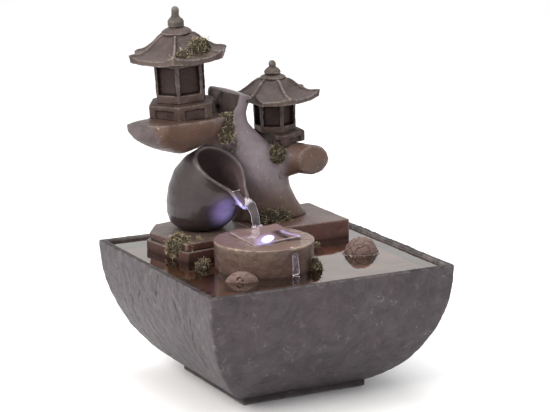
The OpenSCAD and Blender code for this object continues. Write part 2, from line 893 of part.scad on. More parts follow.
module upper_slate() {
    color("rosybrown")
        difference() {
            translate([0, 0, left_slate_split])
                linear_extrude(upper_slate_t)
                    polygon(left_outline(0));
            translate([jug_x, jug_y, left_slate_split - 1])
                cylinder(h = upper_slate_t + 2, r = tube_out_r + tube_hole_gap);
        }
}

module lower_slate() {
    hollow_x = -hatch_w / 2 + lip_gap + lip_t;
    hollow_y = hatch_y + lip_gap + lip_t;
    hollow_w = slate_seam_x - slate_wall - hollow_x;
    lip_low = deck_top - hatch_lip;
    color("saddlebrown")
        difference() {
            union() {
                translate([0, 0, deck_top])
                    linear_extrude(left_slate_split - deck_top)
                        polygon(left_outline(2.5));
                translate([hollow_x - lip_t, hollow_y - lip_t, lip_low])
                    cube([hollow_w + lip_t, hatch_d - 6, hatch_lip + 1]);
            }
            translate([hollow_x, hollow_y, lip_low - 1])
                cube([hollow_w, hatch_d - 10, left_slate_split - lip_low + 2]);
        }
}

module trunk() {
    color("dimgray")
        difference() {
            loft([for (s = trunk_stations)
                oval_ring([trunk_x + s[0], trunk_y + s[1], slate_top + trunk_h * s[2]],
                    trunk_foot_rx * s[3], trunk_foot_ry * s[4], s[5], trunk_sides, 0.03)]);
            translate([limb_joint_x - bowl_side, 0, limb_z - limb_seat_h])
                cube([bowl_side, bowl_side, limb_seat_h]);
            translate([fork_joint_x, 0, short_z - 24])
                cube([bowl_side, bowl_side, 40]);
        }
}

module left_limb() {
    color("sienna")
        loft([for (s = limb_stations)
            [for (i = [0 : limb_sides - 1])
                let(a = 180 + 180 * i / (limb_sides - 1),
                    reach = cos(a) > 0 ? limb_half * s[2] : s[3])
                [limb_joint_x - limb_l * s[0],
                    limb_y + s[1] - reach * eased(cos(a)),
                    limb_z + s[4] * eased(sin(a))]]]);
}

// The seat that the short lantern stands on leans with it
module at_short() {
    translate([short_x, short_y, short_z])
        rotate([0, -short_lean, 0])
            rotate([0, 0, short_turn])
                children();
}

module short_limb() {
    color("sienna")
        intersection() {
            difference() {
                translate([trunk_x, trunk_y, slate_top])
                    loft(route_rings(smooth(stub_route, 2), smooth(stub_r * stub_radii, 2),
                        stub_sides, [0, 0, 1]));
                at_short()
                    translate([-60, -60, 0])
                        cube([120, 120, 40]);
            }
            translate([fork_joint_x, stub_cut_y, short_z - 24])
                cube([60, 60, 40]);
        }
}

// One ring of the jug; inset is the wall's thickness on the inside
function jug_ring(s, inset) =
    [for (i = [0 : jug_sides - 1])
        let(a = 360 * i / jug_sides, front = (1 + cos(a)) / 2,
            x = (s[3] - inset) * cos(a),
            spout = min(pow(front, 2.5) * (2 - front), 0.68),
            y = (s[2] - inset) * sin(a) * (1 - s[5] * spout))
        tilted([x, y, 0], s[4], [s[0], 0, jug_k * s[1]])];

module at_jug() {
    translate([jug_x, jug_y, slate_top])
        rotate([0, 0, -90 + jug_turn])
            children();
}

module jug() {
    last = len(jug_stations) - 1;
    floor_ring = [for (p = jug_ring(jug_stations[2], jug_wall)) [p[0], p[1], jug_floor]];
    color("dimgray")
        difference() {
            at_jug()
                loft(concat(
                    [for (j = [0 : last]) jug_ring(jug_stations[j], 0)],
                    [for (j = [last : -1 : 3]) jug_ring(jug_stations[j], jug_wall)],
                    [floor_ring]));
            translate([jug_x, jug_y, slate_top - 1])
                cylinder(h = jug_floor + 2, r = tube_out_r + tube_hole_gap);
        }
}

// The feed tube's middle line: up off the nozzle, across on two bends, and up into the jug
function tube_route() =
    let(dx = jug_x - nozzle_x, dy = jug_y - nozzle_y, reach = norm([dx, dy]),
        out = tube_bend_r * (1 - cos(tube_bend)), rise = tube_bend_r * sin(tube_bend),
        slope = (reach - 2 * out) / tan(tube_bend),
        z1 = pump_z + pump_h + nozzle_h + 1, z2 = z1 + 2 * rise + slope)
    [for (q = concat(
        [[0, z1 - 1 - tube_overlap]],
        [for (i = [0 : tube_bend_steps])
            let(a = tube_bend * i / tube_bend_steps)
            [tube_bend_r * (1 - cos(a)), z1 + tube_bend_r * sin(a)]],
        [for (i = [tube_bend_steps : -1 : 0])
            let(a = tube_bend * i / tube_bend_steps)
            [reach - tube_bend_r * (1 - cos(a)), z2 - tube_bend_r * sin(a)]],
        [[reach, slate_top + jug_floor + 3]]))
        [nozzle_x + q[0] * dx / reach, nozzle_y + q[0] * dy / reach, q[1]]];

// A pipe's whole wall: rings outside from end to end, then back along the inside
module pipe(route, r_out, r_in, sides, side) {
    n = len(route);
    outer = route_rings(route, same(r_out, n), sides, side);
    inner = route_rings(route, same(r_in, n), sides, side);
    rings = concat(outer, [for (i = [n - 1 : -1 : 0]) inner[i]]);
    m = 2 * n;
    polyhedron([for (r = rings) for (p = r) p],
        [for (j = [0 : m - 1], i = [0 : sides - 1])
            let(a = j * sides + i, b = j * sides + (i + 1) % sides,
                c = ((j + 1) % m) * sides + i, d = ((j + 1) % m) * sides + (i + 1) % sides)
            each [[a, c, b], [b, c, d]]]);
}

module feed_tube() {
    color("lightblue", 0.6)
        pipe(tube_route(), tube_out_r, tube_in_r / cos(180 / tube_sides), tube_sides,
            [nozzle_y - jug_y, jug_x - nozzle_x, 0]);
}

module at_tall() {
    translate([tall_x, tall_y, limb_z])
        rotate([0, -tall_lean, 0])
            children();
}

module hexagon(h, r_low, r_high) {
    linear_extrude(h, scale = r_high / r_low)
        circle(r_low, $fn = 6);
}

// A hexagonal plinth: a plain block with a sloping shoulder up to the light box, and arched recesses
module lantern_base(r, h, box_r, foot = 0) {
    apothem = r * cos(30);
    arch_w = r * 0.62;
    difference() {
        union() {
            translate([0, 0, -foot])
                cylinder(h = h + foot - base_chamfer, r = r, $fn = 6);
            translate([0, 0, h - base_chamfer])
                cylinder(h = base_chamfer, r1 = r, r2 = box_r + 1, $fn = 6);
        }
        for (i = [0 : 5])
            rotate([0, 0, 30 + 60 * i])
                translate([apothem - 1.2, -arch_w / 2, -foot - 1])
                    cube([5, arch_w, h + foot - base_chamfer - 2]);
    }
}

// A hexagonal light box with a sunken window panel between corner pillars
module lantern_box(r_low, r_high, h) {
    apothem = r_low * cos(30);
    window_w = r_low - pillar_w;
    difference() {
        hexagon(h, r_low, r_high);
        for (i = [0 : 5])
            rotate([0, 0, 30 + 60 * i])
                translate([apothem - panel_t, -window_w / 2, h * 0.2])
                    cube([panel_t * 4, window_w, h * 0.68]);
    }
}

// One ring of a hexagonal roof: each corner stands out by a rib and lifts by its own amount
function roof_ring(r, z, lift, rib, lifts) =
    [for (k = [0 : 5], i = [0 : roof_side_steps - 1])
        let(t = i / roof_side_steps, a = 60 * k,
            p = [cos(a), sin(a)] * (1 - t) + [cos(a + 60), sin(a + 60)] * t,
            corner = pow(abs(1 - 2 * t), 3) * lifts[(t < 0.5 ? k : k + 1) % 6],
            grow = i == 0 ? 1 + rib / r : 1)
        [r * grow * p[0], r * grow * p[1], z + lift * corner]];

module lantern_roof(r, h, box_r, cap_r, lifts) {
    eave = h * 0.23;
    loft([
        roof_ring(box_r * 0.9, 0, 0, 0, lifts),
        roof_ring(r * 0.8, 0.2, 0.15, 0, lifts),
        roof_ring(r, 0.6, 0.5, 0, lifts),
        roof_ring(r, eave, 1, 0.4, lifts),
        roof_ring(r * 0.9, eave * 1.1, 0.7, 0.9, lifts),
        roof_ring(r * 0.76, h * 0.32, 0.3, 1, lifts),
        roof_ring(r * 0.62, h * 0.48, 0.1, 1, lifts),
        roof_ring(r * 0.5, h * 0.66, 0, 1, lifts),
        roof_ring(r * 0.39, h * 0.86, 0, 0.8, lifts),
        roof_ring(min(r * 0.32, cap_r), h, 0, 0, lifts)
    ]);
}

// A round cap that sheds over the roof's neck
module lantern_cap(r, h) {
    rotate_extrude()
        polygon([[0, 0], [r * 0.86, 0], [r, h * 0.14], [r * 0.98, h * 0.3], [r * 0.84, h * 0.6],
            [r * 0.62, h * 0.86], [r * 0.45, h], [0, h]]);
}

// A bulb drawn up to a blunt point
module lantern_finial(r, h) {
    rotate_extrude()
        polygon([[0, 0], [r * 0.84, 0], [r, h * 0.12], [r * 0.98, h * 0.26], [r * 0.8, h * 0.4],
            [r * 0.62, h * 0.52], [r * 0.56, h * 0.74], [r * 0.46, h * 0.9], [r * 0.24, h * 0.99],
            [0, h]]);
}

tall_box_z = tall_base_h;
tall_roof_z = tall_box_z + tall_box_h;
tall_cap_z = tall_roof_z + tall_roof_h;
short_box_z = short_base_h;
short_roof_z = short_box_z + short_box_h;
short_cap_z = short_roof_z + short_roof_h;

// The base's foot is scribed level to sit flat on the limb while the lantern leans
module tall_base() {
    color("rosybrown")
        difference() {
            at_tall()
                lantern_base(tall_base_r, tall_base_h, tall_box_r, scribe_h);
            translate([tall_x - 40, tall_y - 40, limb_z - 20])
                cube([80, 80, 20]);
        }
}

module tall_box() {
    color("dimgray")
        at_tall()
            translate([0, 0, tall_box_z])
                lantern_box(tall_box_r * 0.97, tall_box_r, tall_box_h);
}

module tall_roof() {
    color("rosybrown")
        at_tall()
            translate([0, 0, tall_roof_z])
                lantern_roof(tall_roof_r, tall_roof_h, tall_box_r, tall_cap_r, tall_lifts);
}

module tall_cap() {
    color("gray")
        at_tall()
            translate([0, 0, tall_cap_z])
                lantern_cap(tall_cap_r, tall_cap_h);
}

module tall_finial() {
    color("gray")
        at_tall()
            translate([0, 0, tall_cap_z + tall_cap_h])
                lantern_finial(tall_cap_r / 2, tall_finial_h);
}

// The room that the trunk takes, to the left of a distance from the middle
module beside_trunk(x) {
    room = 2 * trunk_foot_rx;
    translate([x - room, trunk_y - room / 2, short_z - 10])
        cube([room, room / 2 + 17.5, room]);
}

module short_base() {
    color("rosybrown")
        difference() {
            at_short()
                lantern_base(short_base_r, short_base_h, short_box_r);
            beside_trunk(fork_joint_x);
        }
}

module short_box() {
    color("dimgray")
        at_short()
            translate([0, 0, short_box_z])
                lantern_box(short_box_r * 0.97, short_box_r, short_box_h);
}

module short_roof() {
    color("rosybrown")
        difference() {
            at_short()
                translate([0, 0, short_roof_z])
                    lantern_roof(short_roof_r, short_roof_h, short_box_r, short_cap_r, short_lifts);
            beside_trunk(trunk_x - 12.5);
        }
}

module short_cap() {
    color("gray")
        at_short()
            translate([0, 0, short_cap_z])
                lantern_cap(short_cap_r, short_cap_h);
}

module short_finial() {
    color("gray")
        at_short()
            translate([0, 0, short_cap_z + short_cap_h])
                lantern_finial(short_cap_r * 0.56, short_finial_h);
}

module roof_moss() {
    color("olivedrab")
        difference() {
            at_tall() {
                tuft([8.5, -20, tall_roof_z + 10], 8.5, 6, 7.5, 20);
                tuft([-7, -24, tall_roof_z + 6], 7.5, 4, 5, 110);
            }
            tall_roof();
        }
}

module limb_moss() {
    color("olivedrab")
        difference() {
            tuft([-16.5, limb_y - 22.5, limb_z - 9], 7, 5, 12, 60);
            left_limb();
        }
}

module fork_moss() {
    color("olivedrab")
        difference() {
            tuft([trunk_x - 0.5, trunk_y - 13.5, short_z - 6], 6.5, 5, 8, 200);
            trunk();
            short_limb();
        }
}

module foot_moss() {
    color("olivedrab")
        difference() {
            tuft([trunk_x - 4.5, trunk_y - 16.5, slate_top + 3], 14, 6, 7, 30);
            rear_slate();
            trunk();
        }
}

module slate_moss() {
    color("olivedrab")
        difference() {
            tuft([left_slate_x + 1, left_slate_y + 15.3, slate_top - 5], 9, 12, 9, 90);
            upper_slate();
            lower_slate();
        }
}

bowl();
foot_sheet();
deck();
power_inlet();
inlet_seal();
inlet_nut();
pump_body();
pump_cover();
suction_cups();
impeller_shaft();
impeller();
rotor_magnet();
flow_slider();
pump_lead();
lamp_lead();
light_stone();
lens();
lens_gasket();
lamp_housing();
lamp_board();
lamp_emitter();
front_stone();
right_stone();
waterline_moss();
rear_slate();
upper_slate();
lower_slate();
trunk();
left_limb();
short_limb();
jug();
feed_tube();
tall_base();
tall_box();
tall_roof();
tall_cap();
tall_finial();
short_base();
short_box();
short_roof();
short_cap();
short_finial();
roof_moss();
limb_moss();
fork_moss();
foot_moss();
slate_moss();
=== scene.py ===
"""Tabletop fountain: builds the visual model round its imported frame, laid out as a Blender add-on."""

import json
import math
import random
from functools import partial

import bmesh
import bpy
import numpy as np
from bpy.props import FloatProperty, FloatVectorProperty, PointerProperty
from mathutils import Matrix, Vector, noise


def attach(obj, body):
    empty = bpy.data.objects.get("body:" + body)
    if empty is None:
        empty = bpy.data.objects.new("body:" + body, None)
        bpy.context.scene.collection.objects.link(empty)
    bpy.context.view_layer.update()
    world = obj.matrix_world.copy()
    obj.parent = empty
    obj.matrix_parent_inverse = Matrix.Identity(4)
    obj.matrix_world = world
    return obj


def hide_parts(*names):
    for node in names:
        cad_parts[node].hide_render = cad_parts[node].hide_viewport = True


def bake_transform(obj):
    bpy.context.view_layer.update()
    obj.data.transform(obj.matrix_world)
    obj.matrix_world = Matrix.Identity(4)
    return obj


bl_info = {
    "name": "Tabletop fountain",
    "version": (1, 0, 0),
    "blender": (4, 5, 0),
    "location": "3D View > Sidebar > Fountain",
    "description": "Builds a tabletop fountain with two lanterns, a pouring jug and a lit stone",
    "category": "Add Mesh",
}

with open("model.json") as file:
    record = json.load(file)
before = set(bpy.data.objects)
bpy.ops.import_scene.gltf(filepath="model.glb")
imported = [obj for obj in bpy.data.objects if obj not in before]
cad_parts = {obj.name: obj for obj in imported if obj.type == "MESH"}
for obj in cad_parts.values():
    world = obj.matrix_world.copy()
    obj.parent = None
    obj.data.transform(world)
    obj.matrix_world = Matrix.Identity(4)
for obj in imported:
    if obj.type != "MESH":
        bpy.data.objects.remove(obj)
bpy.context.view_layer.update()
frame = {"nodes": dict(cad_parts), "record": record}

MM = 0.001

# Camera, fitted to the bowl's corners and foot: place in mm, angles in degrees, lens in mm
CAMERA_PLACE = (-693.5, -1354.4, 476.1)
CAMERA_AZIMUTH = -27.198
CAMERA_ELEVATION = 12.877
CAMERA_ROLL = -0.407
CAMERA_LENS = 142.81
SENSOR_WIDTH = 36.0

# Bowl, in mm
BOWL_HALF = 95.0
BOWL_HEIGHT = 94.5
BOWL_WALL = 4.5
FOOT_HALF = 49.0
FOOT_HEIGHT = 5.0
SHEET_PROUD = 0.6
FLOOR_HEIGHT = 10.0
CURVE_IN = 28.0
SIDE_STEPS = 140
CORNER_STEPS = 4

# Where cracks start along the bowl's right, back, left and front faces, in mm from the middle
BOWL_CRACKS = ((24,), (-58, -20, 40), (-52, -24, 8, 30, 60), ())

# Slates: how far each is darkened, and the middle of the trunk that stands on them, in mm
SLATES = {"rear_slate": 0.0, "upper_slate": 0.12, "lower_slate": 0.3}
SLATE_TOP = 105.0
TRUNK_MIDDLE = (29, 44)

# Trunk, in mm: its crack, the lump at its top left, and the join below the short limb
TRUNK_CRACK = [(-10.2, 60, 209), (-10.4, 54.4, 208), (-11.2, 54.8, 203), (-13, 56, 197.5), (-15, 57.6, 192)]
TRUNK_LUMP = (-15.5, 62, 202)
TRUNK_LUMP_SHIFT = (-4.0, -0.8, 1.6)
LIMB_JOIN = (33.5, 51.5, 137)
LIMB_TOP = 189.0
# The cut face's left and right ends, each as heights and the places there
CUT_LEFT = ((184, 192, 197.5, 208), (-18, -16, -14, -11))
CUT_RIGHT = ((184, 193, 203), (-9, -0.5, 3))

# Jug, in mm: where it stands, its turn, and its mouth ring's centre, half width, half length and tilt
JUG_PLACE = (-31.3, 53.1, SLATE_TOP)
JUG_TURN = -67.0
JUG_MOUTH = (24.0, 43.5)
JUG_MOUTH_WIDTH = 24.2
JUG_MOUTH_LENGTH = 27.0
JUG_MOUTH_TILT = 40.3
JUG_MOUTH_PINCH = 0.82
JUG_BEAD_INSET = 1.2
LIP = (-13.9, 12.0, 131.0)
LIP_PULL = (0.8, 0, 6.0)

# Lanterns, in mm and degrees
LANTERNS = {
    "tall": {"place": (-42.8, 57.0, LIMB_TOP), "lean": 3.5, "turn": 0.0, "roof_z": 41.2, "roof_r": 38.0,
             "roof_h": 18.6, "cap_r": 11.3, "lifts": (0.6, 0.4, 0, 3.6, 4, 3.4)},
    "short": {"place": (39.0, 69.0, 160.0), "lean": 2.5, "turn": 23.7, "roof_z": 31.5, "roof_r": 34.5,
              "roof_h": 16.5, "cap_r": 10.0, "lifts": (1.2, 0.6, 0, 2, 2.4, 3.4)},
}

# The finish of each part of a lantern
LANTERN_PARTS = {"base": "lantern_body", "box": "lantern_body", "roof": "lantern_roof", "cap": "lantern_roof",
                 "finial": "lantern_finial"}

# Finials: shares of the height, and how far each widens or narrows the turning there
FINIAL_TURNING = {
    "tall": ((0, 0.14, 0.3, 0.41, 0.46, 0.54, 0.68, 0.78, 0.88, 1),
             (1.27, 1.06, 1.07, 1.0, 0.84, 0.75, 0.8, 0.9, 1.0, 1.0)),
    "short": ((0, 0.05, 0.23, 0.39, 0.5, 0.55, 0.73, 1), (1.3, 1.2, 1.05, 1.0, 0.8, 0.72, 0.92, 0.9)),
}

# Lens, in mm: the glow's middle, the lit far edge and the shadow beside the glow
GLOW = (-20.7, -33.8, 113.5)
LIT_EDGE = [(-2.8, -21, 114.9), (-3.6, -25, 114.6), (-1.8, -32, 114.6), (1.4, -38.4, 114.6)]
LENS_SHADOW = [(-7, -21, 114.4), (-8.4, -30, 114), (-8, -37, 114)]

# The hooked notch in the front pebble, in mm
NOTCH = [(-57, -58.4, 94.2), (-56.2, -58.4, 95.4), (-55, -58.9, 95.8), (-54, -59.6, 95), (-53.6, -60.4, 93.4)]

# Poured water, in mm: where it leaves the spout and lands, and the directions across it
SPOUT_TIP = (-14.6, 12.6, 126.8)
STREAM_FOOT = (-10.9, 2.5, 113.4)
ACROSS_POUR = (0.921, 0.391, 0.0)
ACROSS_STREAM = (0.97, -0.2, 0.0)
ACROSS_TRICKLE = (0.98, 0.2, 0)
# Its paths, in mm: the stream and the water in the spout from the spout's tip, the trickle as it lies
STREAM_PATH = ((-0.2, 4.0, 4.6), (2.6, -0.6, 1.9), (3.8, -3.4, -1.4), (4.0, -6.8, -6.0))
STREAM_LANDING = (-0.2, 0.9, 3.2)
SPOUT_PATH = ((-3.6, 8.6, 9.8), (-2.2, 5.2, 6.6), (-0.9, 2.4, 3.2), (0, 0.2, 0.9))
WATER_LINE_MIDDLE = (-3.6, 8.6, 10.1)
TRICKLE_PATH = ((-14.0, -57.6, 111.9), (-13.6, -60.4, 109.6), (-13.2, -60.9, 104), (-12.6, -60.4, 98),
                (-12.2, -60.0, 92.8))

# Moss: its body, its cushion and what it grows on, and trails in mm along which it straggles
MOSS = (
    ("sculpture", ("roof_moss", "tall_roof"),
     [[(-29, 35, 240), (-33, 32.5, 238.5), (-37.3, 31.1, 236.7), (-43.1, 30.4, 235.9), (-48.9, 30.5, 236.5),
       (-54.6, 30.5, 237), (-58, 31.5, 237.3), (-56.7, 36.3, 239)],
      [(-44, 34, 240), (-38, 34, 242)]]),
    ("sculpture", ("limb_moss", "left_limb", "trunk"),
     [[(-8, 42, 172), (-4.0, 49.0, 165), (-4.0, 52, 161), (-4, 54.1, 158)]]),
    ("sculpture", ("fork_moss", "trunk", "short_limb"), [[(22, 48, 163), (27.6, 46, 160), (33, 46, 152)]]),
    ("sculpture", ("foot_moss", "trunk", "rear_slate"),
     [[(14, 47.5, 113), (17, 42, 110), (26, 39, 106), (36, 41, 105), (41.4, 40.1, 105)]]),
    ("sculpture", ("slate_moss", "upper_slate", "lower_slate"),
     [[(-53.9, 46, 105), (-51.5, 37.5, 105), (-50, 25.7, 105), (-47, 17.4, 105)],
      [(-60, 12, 105), (-55.6, 11.7, 102)]]),
    ("bowl", ("waterline_moss",), []),
)
# The share of long fibres, and how much denser stragglers start than the cushion's fibres
CURLY_SHARE = 0.2
STRAY_DENSITY = 1.3
# Short and long fibres: rings, share of the longest, thickness in mm, curl, spread and added shade
FIBRES = ((5, 0.36, (0.1, 0.18), 0.7, 1.0, 0.0), (13, 1.15, (0.15, 0.27), 0.95, 1.3, 0.25))

# The CAD nodes whose own shapes stay; the record says which finish each has
PLAIN_NODES = (
    "deck", "foot_sheet", "power_inlet", "inlet_seal", "inlet_nut", "pump_body", "pump_cover", "suction_cups",
    "impeller_shaft", "impeller", "rotor_magnet", "flow_slider", "pump_lead", "lamp_lead", "lens_gasket",
    "lamp_housing", "lamp_board", "lamp_emitter", "feed_tube",
)

# The lamp's light that leaves the lens towards the jug: mm, watts, the lamp's radius in m, and degrees
BEAM_START = (-15.0, -58.0, 126.0)
BEAM_END = (-24.5, 24.0, 123.5)
BEAM_POWER = 6.2
BEAM_RADIUS = 0.004
BEAM_CONE = 18

# The soft lights: name, place and aim in m, watts, width in m and colour
SOFT_LIGHTS = (
    ("key", (-1.1, -0.35, 0.95), (0, 0, 0.12), 15, 0.9, "#fffaf5"),
    ("top", (0.15, 0.35, 1.5), (0, 0, 0.1), 12, 1.2, "#ffffff"),
)
# The white all round: its brightness, and half the floor's side in mm
ROOM_LIGHT = 0.95
FLOOR_HALF = 9000


def linear(code):
    """An sRGB hex colour as linear red, green, blue and alpha."""
    parts = [int(code[i : i + 2], 16) / 255 for i in (1, 3, 5)]
    return (*[p / 12.92 if p <= 0.04045 else ((p + 0.055) / 1.055) ** 2.4 for p in parts], 1.0)


def node(tree, kind, inputs=None, out=0, **settings):
    """Adds a node with its settings, values and links, and returns one of its outputs."""
    made = tree.nodes.new(kind)
    for key, value in settings.items():
        setattr(made, key, value)
    for key, value in (inputs or {}).items():
        if isinstance(value, bpy.types.NodeSocket):
            tree.links.new(value, made.inputs[key])
        else:
            made.inputs[key].default_value = value
    return made.outputs[out] if made.outputs else made


def blank_material(name):
    """A material without nodes, and node() bound to its tree."""
    material = bpy.data.materials.new(name)
    material.use_nodes = True
    material.node_tree.nodes.clear()
    return material, partial(node, material.node_tree)


def read_rows(items, field, width, kind=np.float32):
    """A field of a mesh's vertices or edges, one row of numbers for each."""
    flat = np.empty(len(items) * width, kind)
    items.foreach_get(field, flat)
    return flat.reshape(-1, width)


def get_points(mesh):
    """A mesh's points in mm."""
    return read_rows(mesh.vertices, "co", 3).astype(float) / MM


def set_points(mesh, points):
    mesh.vertices.foreach_set("co", (points * MM).astype(np.float32).ravel())
    mesh.update()


def get_normals(mesh):
    return read_rows(mesh.vertices, "normal", 3).astype(float)


def relaxed(points, mesh, times):
    """A mesh's points drawn halfway to their neighbours' mean a number of times."""
    count = len(points)
    edges = read_rows(mesh.edges, "vertices", 2, np.int32)
    a, b = edges.T.ravel(), edges[:, ::-1].T.ravel()
    degree = np.maximum(np.bincount(a, minlength=count), 1)
    points = points.copy()
    for _ in range(times):
        mean = np.stack([np.bincount(a, points[b, k], count) / degree for k in range(3)], 1)
        points += 0.5 * (mean - points)
    return points


def soften(mesh, share, times):
    """Relaxes a mesh by each point's own share."""
    points = get_points(mesh)
    set_points(mesh, points + share[:, None] * (relaxed(points, mesh, times) - points))


def push(mesh, depth):
    """Moves each point of a mesh out along its normal by its own depth in mm."""
    set_points(mesh, get_points(mesh) + get_normals(mesh) * depth[:, None])


def step(values, zero, one):
    """A smooth climb from 0 where the values are at zero to 1 where they are at one."""
    t = np.clip((values - zero) / (one - zero), 0, 1)
    return t * t * (3 - 2 * t)


def hill(points, place, reach):
    """1 at a place in mm, falling smoothly to 0 about two reaches away."""
    return np.exp(-((np.linalg.norm(points - place, axis=1) / reach) ** 2))


def set_layer(mesh, name, values):
    """Stores a value from 0 to 1 for each point, which a material reads by its name."""
    layer = mesh.attributes.new(name, "FLOAT", "POINT")
    layer.data.foreach_set("value", np.clip(values, 0, 1).astype(np.float32))


def add_wear_and_glint(mesh, times, reach):
    """Writes how far points stand out from the softened form: above a half on edges, below in hollows."""
    points = get_points(mesh)
    away = ((points - relaxed(points, mesh, times)) * get_normals(mesh)).sum(1)
    set_layer(mesh, "wear_and_glint", 0.5 + 0.5 * away / reach)


def noise_at(points, size, seed):
    """Smooth noise at points in mm, between about -1 and 1, with features of a size in mm."""
    offset = Vector((seed * 1.7, seed * 3.1, seed * 2.3))
    return np.array([noise.noise(Vector(p) / size + offset) for p in points])


def roughen(mesh, layers, mask=1.0):
    """Moves points along their normals by layers of noise: size and depth in mm, and a seed."""
    points = get_points(mesh)
    push(mesh, mask * sum(depth * noise_at(points, size, seed) for size, depth, seed in layers))


def make_mesh(name, points, faces):
    mesh = bpy.data.meshes.new(name)
    mesh.from_pydata([tuple(p) for p in np.asarray(points, float) * MM], [], faces)
    mesh.update()
    return mesh


def ring_mesh(name, rings):
    """A closed skin through rings of points, in mm, each with the same number of points."""
    sides = len(rings[0])
    count = len(rings)
    points = [p for ring in rings for p in ring]
    faces = []
    for j in range(count - 1):
        low, high = j * sides, (j + 1) * sides
        for i in range(sides):
            k = (i + 1) % sides
            faces.append((low + i, low + k, high + k, high + i))
    for j, turned in ((0, True), (count - 1, False)):
        middle = len(points)
        points.append(np.mean(np.array(rings[j], float), axis=0))
        for i in range(sides):
            a, b = j * sides + i, j * sides + (i + 1) % sides
            faces.append((b, a, middle) if turned else (a, b, middle))
    return make_mesh(name, points, faces)


def join_meshes(name, meshes):
    points, faces = [], []
    for mesh in meshes:
        start = len(points)
        points += [v.co.copy() for v in mesh.vertices]
        faces += [[start + v for v in f.vertices] for f in mesh.polygons]
    joined = bpy.data.meshes.new(name)
    joined.from_pydata(points, [], faces)
    joined.update()
    return joined


def cad_copy(name, *nodes):
    """One new mesh with the shapes of some CAD nodes."""
    return join_meshes(name, [frame["nodes"][n].data for n in nodes])


def remeshed(mesh, voxel, times):
    """The closed skin of a mesh in even quads of a size in mm, relaxed a number of times."""
    piece = bpy.data.objects.new(mesh.name, mesh)
    bpy.context.scene.collection.objects.link(piece)
    skin = piece.modifiers.new("skin", "REMESH")
    skin.mode = "VOXEL"
    skin.voxel_size = voxel * MM
    graph = bpy.context.evaluated_depsgraph_get()
    result = bpy.data.meshes.new_from_object(piece.evaluated_get(graph))
    bpy.data.objects.remove(piece)
    set_points(result, relaxed(get_points(result), result, times))
    return result


def sweep(name, path, outline, across, sides):
    """A skin swept along a path in mm; outline gives the offsets across and out at a share and an angle."""
    path = [Vector(p) for p in path]
    across = Vector(across).normalized()
    rings = []
    last = len(path) - 1
    for j, place in enumerate(path):
        along = (path[min(j + 1, last)] - path[max(j - 1, 0)]).normalized()
        across = (across - along * across.dot(along)).normalized()
        out = along.cross(across)
        ring = []
        for i in range(sides):
            u, v = outline(j / last, 2 * math.pi * i / sides)
            ring.append(place + across * u + out * v)
        rings.append(ring)
    return ring_mesh(name, rings)


def smooth_path(points, steps):
    """A path through all the points, rounded between them."""
    points = [Vector(p) for p in points]
    ends = [2 * points[0] - points[1], *points, 2 * points[-1] - points[-2]]
    path = []
    for a, b, c, d in zip(ends, ends[1:], ends[2:], ends[3:]):
        for i in range(steps):
            t = i / steps
            path.append(0.5 * (2 * b + (c - a) * t + (2 * a - 5 * b + 4 * c - d) * t**2
                               + (3 * b - a - 3 * c + d) * t**3))
    return [*path, points[-1]]


def rod(name, path, thick, across=(0, 0, 1)):
    """A round rod along a path; thick gives its radius in mm at a share of its length."""
    return sweep(name, path, lambda t, a: (thick(t) * math.cos(a), thick(t) * math.sin(a)), across, sides=8)


def line_distance(points, lines):
    """How far points lie from the nearest of some lines, each a list of places in mm."""
    near = np.full(len(points), 1e9)
    for line in lines:
        for a, b in zip(line, line[1:]):
            a, b = np.array(a, float), np.array(b, float)
            along = np.clip(((points - a) @ (b - a)) / ((b - a) @ (b - a)), 0, 1)
            near = np.minimum(near, np.linalg.norm(points - a - along[:, None] * (b - a), axis=1))
    return near


def carve(mesh, lines, width, depth):
    """Presses grooves into a mesh along lines and returns how deep each point went, from 0 to 1."""
    share = np.exp(-((line_distance(get_points(mesh), lines) / width) ** 2))
    push(mesh, -depth * share)
    return share


def hull_depth(points, name):
    """How far points, in mm, lie inside the convex hull of a CAD node."""
    work = bmesh.new()
    work.from_mesh(frame["nodes"][name].data)
    made = bmesh.ops.convex_hull(work, input=work.verts)["geom"]
    work.normal_update()
    depth = np.full(len(points), 1e9)
    for face in made:
        if isinstance(face, bmesh.types.BMFace):
            depth = np.minimum(depth, abs((points - np.array(face.verts[0].co) / MM) @ np.array(face.normal)))
    work.free()
    return depth


# All finishes by name, filled by main
MATERIALS = {}


def add_piece(name, mesh, body, slot, replaces=(), finish=None, smooth=True):
    """Puts a mesh in the scene as a piece that rides on a body, if one is given, and stands for its nodes.

    Its finish is the material of its slot's name, or the one that finish names.
    """
    piece = bpy.data.objects.new(name, mesh)
    bpy.context.scene.collection.objects.link(piece)
    mesh.polygons.foreach_set("use_smooth", [smooth] * len(mesh.polygons))
    mesh.materials.clear()
    mesh.materials.append(MATERIALS[finish or slot])
    if body:
        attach(piece, body)
    if replaces:
        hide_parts(*replaces)
    return piece


# What the lengths share, and what the colours share
LENGTH = {"unit": "LENGTH", "subtype": "DISTANCE"}
TONE = {"min": 0, "max": 1, "subtype": "COLOR"}


